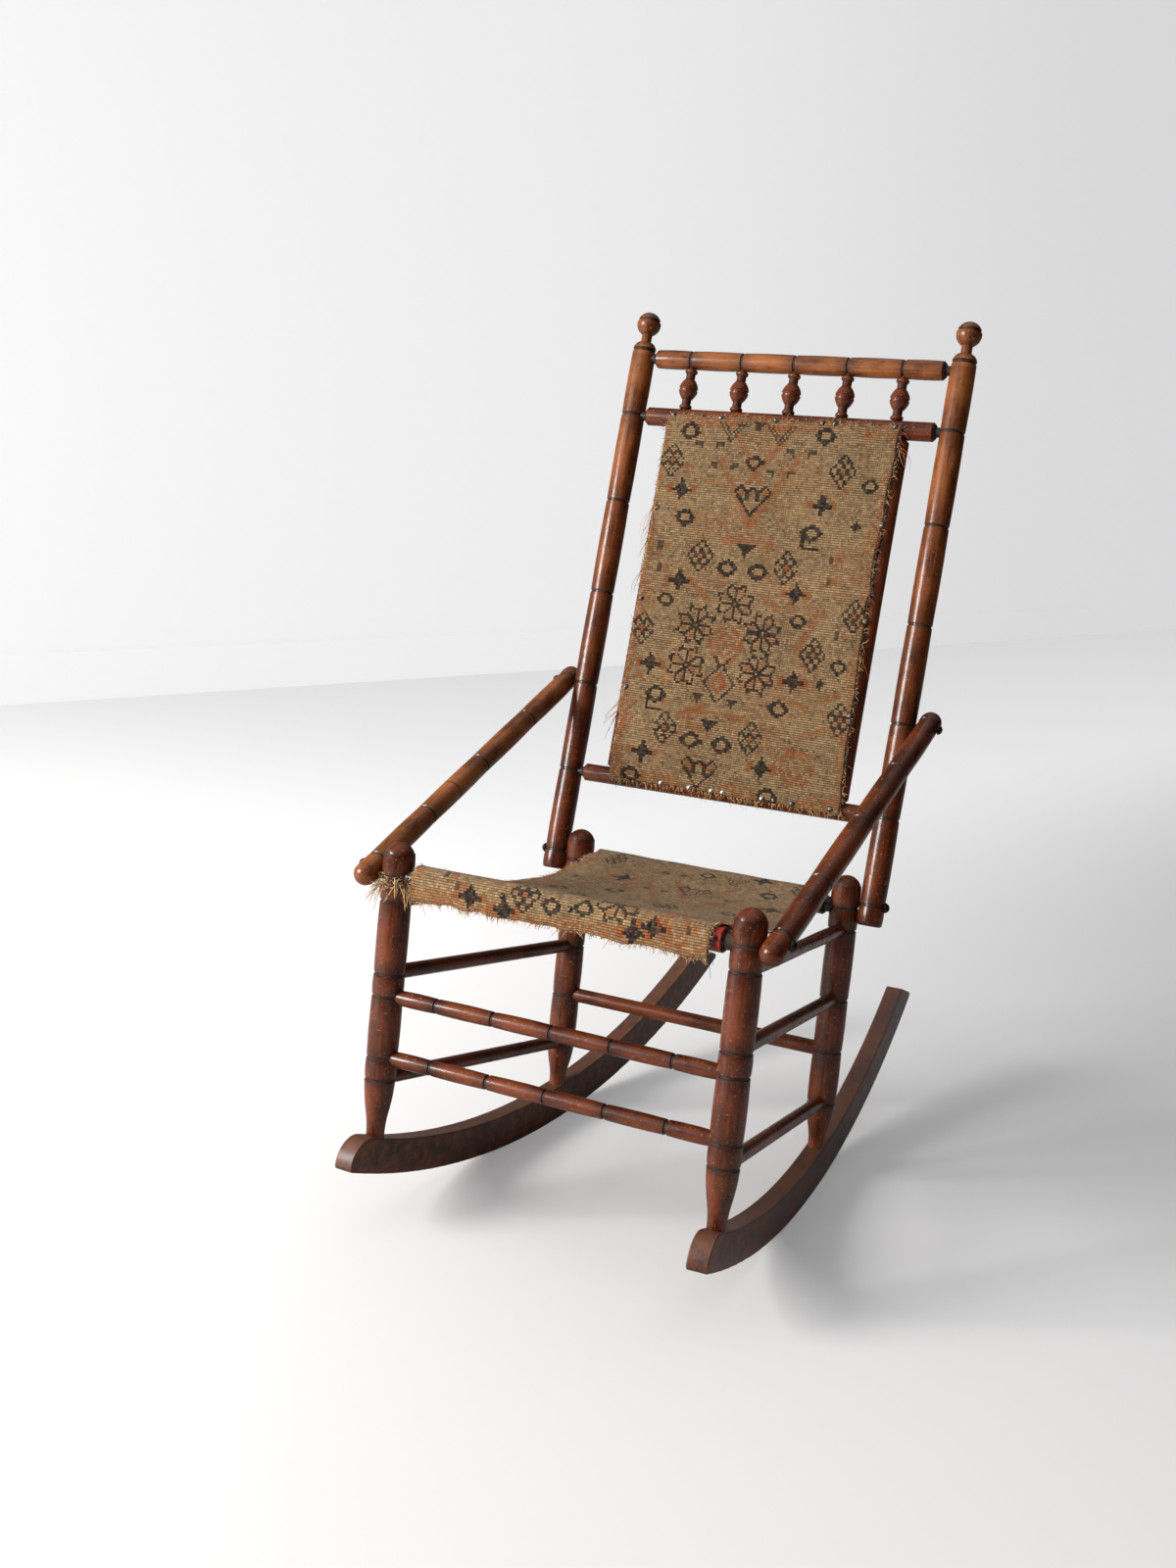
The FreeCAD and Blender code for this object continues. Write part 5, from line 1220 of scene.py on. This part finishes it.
# Tufts of three long threads at the back's sides: place across and up in the back frame, then
# run across, up and towards the sitter, all in millimetres.
BACK_TUFTS = (
    (-139.5, 415, -5, -30, 2), (-139, 408, -3, -46, 3), (-139.5, 398, -6, -24, 3),
    (-139, 372, -4, -22, 2), (-138.5, 345, -7, -26, 3), (-138, 182, -12, -16, 2),
    (-138, 176, -14, -6, 1), (-138, 170, -10, -20, 2), (137.5, 512, 12, -8, 1),
    (138, 505, 13, -14, 3), (138, 497, 11, -22, 2), (-140, 505, -10, 6, 1), (139, 260, 6, -10, 2),
)
TUFT_THREADS = 3
TUFT_SPREAD = (0.3, 3.0, 2.0, 4.0)
TUFT_DEPTH = 1.2 * MM
FRAY_DEPTH = 1.0 * MM
BACK_SWAY = 0.28
BACK_DROOP = 0.5
SEAT_SWAY = 0.3
SEAT_DROOP = 0.4
SEAT_CLOSER = 0.8


class ROCKER_OT_loose_threads(bpy.types.Operator):
    """Fray the carpets' edges"""
    bl_idname = "rocker.loose_threads"
    bl_label = "Loose Threads"

    def execute(self, context):
        self.fray_back()
        self.fray_seat()
        return {"FINISHED"}

    def fray_back(self):
        """Threads round the back's panel, with tufts and a turned-in hem at its sides.

        An edge holds its line, the way its threads point and its share of the mean length.
        """
        loose = settings().loose
        random = np.random.default_rng(loose.seed)
        grid = back_grid(84, 56) + np.array((0, FRAY_DEPTH, 0))
        face = np.array((0.0, -1.0, 0.0))
        edges = ((grid[:, 0], (-1, 0, 0), 0.55), (grid[:, -1], (1, 0, 0), 0.8),
                 (grid[0], (0, 0, -1), 1.0), (grid[-1], (0, 0, 1), 1.0))
        made = [edge_fray(line, np.array(out, float), face, random, loose.fray_spacing,
                          loose.fray_length * size) for line, out, size in edges]
        starts = np.concatenate([start for start, run in made])
        runs = np.concatenate([run for start, run in made])
        tufts = np.repeat(np.array(BACK_TUFTS, float), TUFT_THREADS, axis=0)
        tufts[:, :4] += random.normal(size=(len(tufts), 4)) * TUFT_SPREAD
        high = np.full(len(tufts), BACK_FACE + TUFT_DEPTH)
        starts = np.concatenate([starts, np.stack([tufts[:, 0] * MM, high, tufts[:, 1] * MM], axis=-1)])
        runs = np.concatenate([runs, np.stack([tufts[:, 2], -tufts[:, 4], tufts[:, 3]], axis=-1) * MM])
        count, long_ones = len(starts), len(tufts)
        dyes = thread_dyes(count, random)
        dyes[-long_ones:] = thread_dyes(long_ones, random, TUFT_SHARES)
        starts, runs = in_back_frame(starts), tipped(runs, BACK_LEAN)
        hem = rolled_hem(grid[:, -1], random)
        reach = np.linalg.norm(runs, axis=1)
        sway = random.normal(size=(count, 3)) * reach[:, None] * BACK_SWAY
        droop = reach * random.uniform(0, BACK_DROOP, count)
        piece = thread_bundle("back_fray", starts, runs, sway, droop, loose.thread_radius, dyes, "back")

    def fray_seat(self):
        """Threads along the seat's two sides and its flap, and the yarn round the leg.

        An edge holds its line, the ways its threads point and rise, and its share of the mean
        length. The last one is the dark tuft at the flap's cut-back corner.
        """
        loose = settings().loose
        random = np.random.default_rng(loose.seed + 1)
        thick = settings().carpet.thickness
        grid = seat_grid(90, 60, thick)[0]
        up = np.array((0.0, 0.0, 1.0))
        lower = np.array((0, 0.4 * thick, 0))
        edges = ((grid[8:80, 0], (-1, 0, 0.1), up, 0.8), (grid[8:80, -1], (1, 0, 0.1), up, 0.8),
                 (grid[:9, 0], (-1, 0, 0), up, 0.6), (grid[:9, -1], (1, 0, 0), up, 0.6),
                 (grid[0] + lower, (0, -0.15, -1), np.array((0.0, -1.0, 0.0)), 0.75),
                 (grid[:5, -1], (0.5, -0.1, -0.8), up, 1.5))
        made = [edge_fray(line, np.array(out, float), face, random, loose.fray_spacing * SEAT_CLOSER,
                          loose.fray_length * size) for line, out, face, size in edges]
        starts = in_leg_frame(np.concatenate([start for start, run in made]))
        runs = tipped(np.concatenate([run for start, run in made]), LEG_LEAN)
        reach = np.linalg.norm(runs, axis=1)
        sway = random.normal(size=starts.shape) * reach[:, None] * SEAT_SWAY
        count = len(starts)
        dyes = thread_dyes(count, random)
        dyes[-len(made[-1][0]):] = settings().carpet.navy[:3]
        droop = reach * random.uniform(0, SEAT_DROOP, count)
        fray = thread_bundle("seat_fray", starts, runs, sway, droop, loose.thread_radius, dyes, "base")
        yarn = leg_yarn(random)


# The curls' sway is in millimetres.
CURL_SPACING = 1.5 * MM
CURL_LENGTH = 4.6 * MM
CURL_RADIUS = 1.15 * MM
CURL_DARKNESS = 0.45
CURL_SWAY = (0.9, 0.5, 0.9)


def rolled_hem(line, random):
    """The back's edge on the sitter's left, turned in: thick short curls of dark wool along it."""
    starts, runs = edge_fray(line, np.array((0.3, -0.25, 0.9)), np.array((0.0, -1.0, 0.0)), random,
                             CURL_SPACING, CURL_LENGTH)
    starts += np.array((0.6, 0.4, 0)) * MM
    dyes = thread_dyes(len(starts), random, CURL_SHARES) * CURL_DARKNESS
    sway = random.normal(size=runs.shape) * CURL_SWAY * MM
    return thread_bundle("back_hem", in_back_frame(starts), tipped(runs, BACK_LEAN),
                         tipped(sway, BACK_LEAN), np.zeros(len(starts)), CURL_RADIUS, dyes, "back")


# All lengths of the yarn are in millimetres.
YARN_STRANDS = 260
YARN_LOW = 243
YARN_RISE = 17
YARN_AWAY = (0.5, 2.4)
YARN_REACH = (9, 15)
YARN_JITTER = (0.3, 0.3, 1.6)
HANGING_SHARE = 0.42
HANGING_RUN = (0, -2, -7)
HANGING_SPREAD = (7, 4, 11)
HANGING_OUT = 7
YARN_BEND = 1.9
YARN_THICKER = 1.5


def leg_yarn(random):
    """Worn yarn tied round the front leg: short strands laid round it, and loose ends.

    A strand sets out along the tangent and sways inwards, so that it follows the leg.
    """
    centre = stick_axis("front_leg_right")[0][0]
    leg_radius = float(np.ptp(vertex_places(frame["nodes"]["front_leg_right"])[:, 0])) / 2
    count = YARN_STRANDS
    turn = random.uniform(0, 2 * math.pi, count)
    away = leg_radius + random.uniform(*YARN_AWAY, count) * MM
    height = (YARN_LOW + YARN_RISE * random.beta(2, 2, count)) * MM
    out = np.stack([np.cos(turn), np.sin(turn), 0 * turn], axis=-1)
    tangent = np.stack([-np.sin(turn), np.cos(turn), 0 * turn], axis=-1)
    starts = out * away[:, None] + np.stack([0 * turn, 0 * turn, height], axis=-1)
    reach = random.uniform(*YARN_REACH, count) * MM
    runs = tangent * reach[:, None] + random.normal(size=(count, 3)) * YARN_JITTER * MM
    bend = reach ** 2 / (2 * away)
    hang = random.uniform(size=count) < HANGING_SHARE
    loose_ends = random.normal(size=(hang.sum(), 3)) * HANGING_SPREAD
    runs[hang] = (out[hang] * HANGING_OUT + HANGING_RUN + loose_ends) * MM
    starts += np.array((centre, 0, 0))
    sway = -out * (bend / math.sin(SWAY_TURN) * YARN_BEND)[:, None] * (~hang)[:, None]
    dyes = thread_dyes(count, random, YARN_SHARES)
    return thread_bundle("leg_yarn", in_leg_frame(starts), tipped(runs, LEG_LEAN),
                         tipped(sway, LEG_LEAN), np.zeros(count),
                         settings().loose.thread_radius * YARN_THICKER, dyes, "base")


CAMERA_PLACE = (0.703756, -1.437801, 0.568734)
CAMERA_RIGHT = (0.891061, 0.442701, 0.10013)
CAMERA_DOWN = (0.142629, -0.063678, -0.987726)
CAMERA_AHEAD = (-0.430892, 0.894405, -0.119883)
IMAGE = (1200, 1600)
SENSOR = 36.0
WALL_HEIGHT = 6.0
WALL_FOOT = ((20, 718), (1190, 643))
WINDOW_PLACE = (-2.0, -2.2, 1.35)
WINDOW_AIM = (0.0, 0.0, 0.4)
WINDOW_SIDE = (-0.52, -0.22, 0.82)
SKY_SPAN = (-0.1, 0.95)
SEEN_SKY = 0.86
# A glow holds its axis, its span along it in metres and its strengths at both ends.
FLOOR_GLOWS = (("run", -0.5, 1.6, 0.16, 0.11), ("away", -0.3, 1.3, 0.0, 0.4))
WALL_GLOWS = (("run", 2.5, 6.5, 0.69, 0.595),)
FLOOR_NEAR = 6.0
ROOM_BEYOND = 3.0
SKIRTING_DEPTH = 9 * MM
SKIRTING_TOP = ((20, 667), (1190, 594))


def camera_ray(pixel):
    """The camera's place and the world direction through a pixel of the picture."""
    scale = SENSOR / settings().room.focal_length / max(IMAGE)
    along = (np.array(pixel) - np.array(IMAGE) / 2) * scale
    ray = np.array(CAMERA_AHEAD) + along[0] * np.array(CAMERA_RIGHT) + along[1] * np.array(CAMERA_DOWN)
    return in_leg_frame(CAMERA_PLACE), tipped(ray, LEG_LEAN)


def on_floor(pixel):
    """Where the line of sight through a pixel meets the floor."""
    start, ray = camera_ray(pixel)
    return start - ray * start[2] / ray[2]


def painted(name, tone, roughness, grain, glows, axes):
    """Painted plaster or boards; the eye gets an even pale tone with a slight tooth.

    What the camera sees of it is lifted by glows, each of which goes from its first to its
    second strength over a span of a named axis, as the daylight does in the room.
    """
    material, tree = new_material(name)
    place = node(tree, "ShaderNodeTexCoord").outputs["Object"]
    lifted = 0.0
    for axis, start, end, low, high in glows:
        along = node(tree, "ShaderNodeVectorMath", {"operation": "DOT_PRODUCT"}, {
            0: place, 1: axes[axis].tolist()}).outputs["Value"]
        grown = node(tree, "ShaderNodeMapRange", STEP, {
            0: along, 1: start, 2: end, 3: low, 4: high}).outputs[0]
        lifted = node(tree, "ShaderNodeMath", {"operation": "ADD"}, {
            0: lifted, 1: grown}).outputs[0]
    seen = node(tree, "ShaderNodeLightPath").outputs["Is Camera Ray"]
    strength = node(tree, "ShaderNodeMath", {"operation": "MULTIPLY"}, {
        0: seen, 1: lifted}).outputs[0]
    tooth = node(tree, "ShaderNodeTexNoise", {}, {
        "Vector": place, "Scale": 1 / grain, "Detail": 4.0, "Roughness": 0.6}).outputs["Fac"]
    relief = node(tree, "ShaderNodeBump", {}, {
        "Strength": 0.08, "Distance": 0.3 * MM, "Height": tooth}).outputs["Normal"]
    shader = node(tree, "ShaderNodeBsdfPrincipled", {}, {
        "Base Color": tone, "Roughness": roughness, "Normal": relief, "Specular IOR Level": 0.2,
        "Emission Color": linear("#FFFFFF"), "Emission Strength": strength})
    node(tree, "ShaderNodeOutputMaterial", {}, {"Surface": shader.outputs["BSDF"]})
    return material


class ROCKER_OT_room(bpy.types.Operator):
    """Set the camera, the window light, and the pale floor and wall"""
    bl_idname = "rocker.room"
    bl_label = "Camera, Light and Room"

    def execute(self, context):
        room = settings().room
        self.set_camera(context, room)
        self.set_light(context, room)
        left, right = (on_floor(pixel) for pixel in WALL_FOOT)
        run = (right - left) / np.linalg.norm(right - left)
        away = np.cross(run, (0, 0, 1.0))
        away *= np.sign(away @ left)
        start, ray = camera_ray(SKIRTING_TOP[0])
        top = start + ray * (((left - start) @ away) / (ray @ away))
        axes = {"run": run, "away": away}
        floor = painted("painted_floor", room.floor, 0.6, 6 * MM, FLOOR_GLOWS, axes)
        wall = painted("painted_wall", room.wall, 0.85, 9 * MM, WALL_GLOWS, axes)
        far_left, far_right = left - run * ROOM_BEYOND, right + run * ROOM_BEYOND
        near_left, near_right = far_left - away * FLOOR_NEAR, far_right - away * FLOOR_NEAR
        up = np.array((0, 0, WALL_HEIGHT))
        step = -away * SKIRTING_DEPTH
        skirt = np.array((0, 0, top[2]))
        new_piece("room_floor", np.array([near_left, near_right, far_right, far_left]),
                  [(0, 1, 2, 3)], floor)
        new_piece("room_wall", np.array([far_left, far_right, far_right + up, far_left + up]),
                  [(0, 1, 2, 3)], wall)
        new_piece("room_skirting", np.array([
            far_left + step, far_right + step, far_right + step + skirt, far_left + step + skirt,
            far_right + skirt, far_left + skirt]), [(0, 1, 2, 3), (3, 2, 4, 5)], wall)
        for name in ("room_floor", "room_wall", "room_skirting"):
            bpy.data.objects[name].data.shade_flat()
        return {"FINISHED"}

    def set_camera(self, context, room):
        """The camera that the photograph was taken with."""
        data = bpy.data.cameras.new("photo_camera")
        data.sensor_width = SENSOR
        data.lens = room.focal_length
        data.clip_end = 60
        camera = bpy.data.objects.new("photo_camera", data)
        right, down, ahead = (tipped(row, LEG_LEAN) for row in (CAMERA_RIGHT, CAMERA_DOWN, CAMERA_AHEAD))
        turn = Matrix(np.stack([right, -down, -ahead], axis=1).tolist()).to_4x4()
        camera.matrix_world = Matrix.Translation(in_leg_frame(CAMERA_PLACE).tolist()) @ turn
        context.scene.collection.objects.link(camera)
        context.scene.camera = camera

    def set_light(self, context, room):
        """A large window at the left and front, and soft light from all round."""
        data = bpy.data.lights.new("window", "AREA")
        data.energy = room.window_power
        data.shape = "SQUARE"
        data.size = room.window_size
        data.color = linear("#FFFDFA")[:3]
        window = bpy.data.objects.new("window", data)
        place = Vector(WINDOW_PLACE)
        window.location = place
        window.rotation_euler = (Vector(WINDOW_AIM) - place).to_track_quat("-Z", "Y").to_euler()
        context.scene.collection.objects.link(window)
        world = bpy.data.worlds.new("room_light")
        world.use_nodes = True
        tree = world.node_tree
        tree.nodes.clear()
        toward = node(tree, "ShaderNodeTexCoord").outputs["Generated"]
        side = node(tree, "ShaderNodeVectorMath", {"operation": "DOT_PRODUCT"}, {
            0: toward, 1: WINDOW_SIDE}).outputs["Value"]
        light = node(tree, "ShaderNodeMapRange", STEP, {
            0: side, 1: SKY_SPAN[0], 2: SKY_SPAN[1], 3: room.far_fill, 4: room.fill}).outputs[0]
        seen = node(tree, "ShaderNodeLightPath").outputs["Is Camera Ray"]
        strength = node(tree, "ShaderNodeMix", MEAN, {0: seen, 2: light, 3: SEEN_SKY}).outputs[0]
        sky = node(tree, "ShaderNodeBackground", {}, {
            "Color": linear("#FAFBFF"), "Strength": strength})
        node(tree, "ShaderNodeOutputWorld", {}, {"Surface": sky.outputs["Background"]})
        context.scene.world = world
        context.scene.view_settings.view_transform = "Standard"


class ROCKER_PT_steps(bpy.types.Panel):
    """The chair's steps and settings in the sidebar."""
    bl_idname = "ROCKER_PT_steps"
    bl_label = "Turned Rocking Chair"
    bl_space_type = "VIEW_3D"
    bl_region_type = "UI"
    bl_category = "Rocking Chair"

    def draw(self, context):
        for operator in OPERATORS:
            self.layout.operator(operator.bl_idname)
        chosen = settings()
        for group in (chosen.wood, chosen.carpet, chosen.loose, chosen.room):
            box = self.layout.box()
            for name in group.bl_rna.properties.keys():
                if name not in ("rna_type", "name"):
                    box.prop(group, name)


OPERATORS = (ROCKER_OT_turned_sticks, ROCKER_OT_rocker_boards, ROCKER_OT_hardware,
             ROCKER_OT_back_carpet, ROCKER_OT_seat_carpet, ROCKER_OT_loose_threads, ROCKER_OT_room)
CLASSES = (RockerWoodSettings, RockerCarpetSettings, RockerLooseSettings, RockerRoomSettings,
           RockerSettings) + OPERATORS + (ROCKER_PT_steps,)


def register():
    for made in CLASSES:
        bpy.utils.register_class(made)
    bpy.types.Scene.turned_rocker = PointerProperty(type=RockerSettings)


def unregister():
    del bpy.types.Scene.turned_rocker
    for made in reversed(CLASSES):
        bpy.utils.unregister_class(made)


def main():
    """Run every step in order."""
    register()
    for operator in OPERATORS:
        family, step = operator.bl_idname.split(".")
        getattr(getattr(bpy.ops, family), step)()


if __name__ == "__main__":
    main()
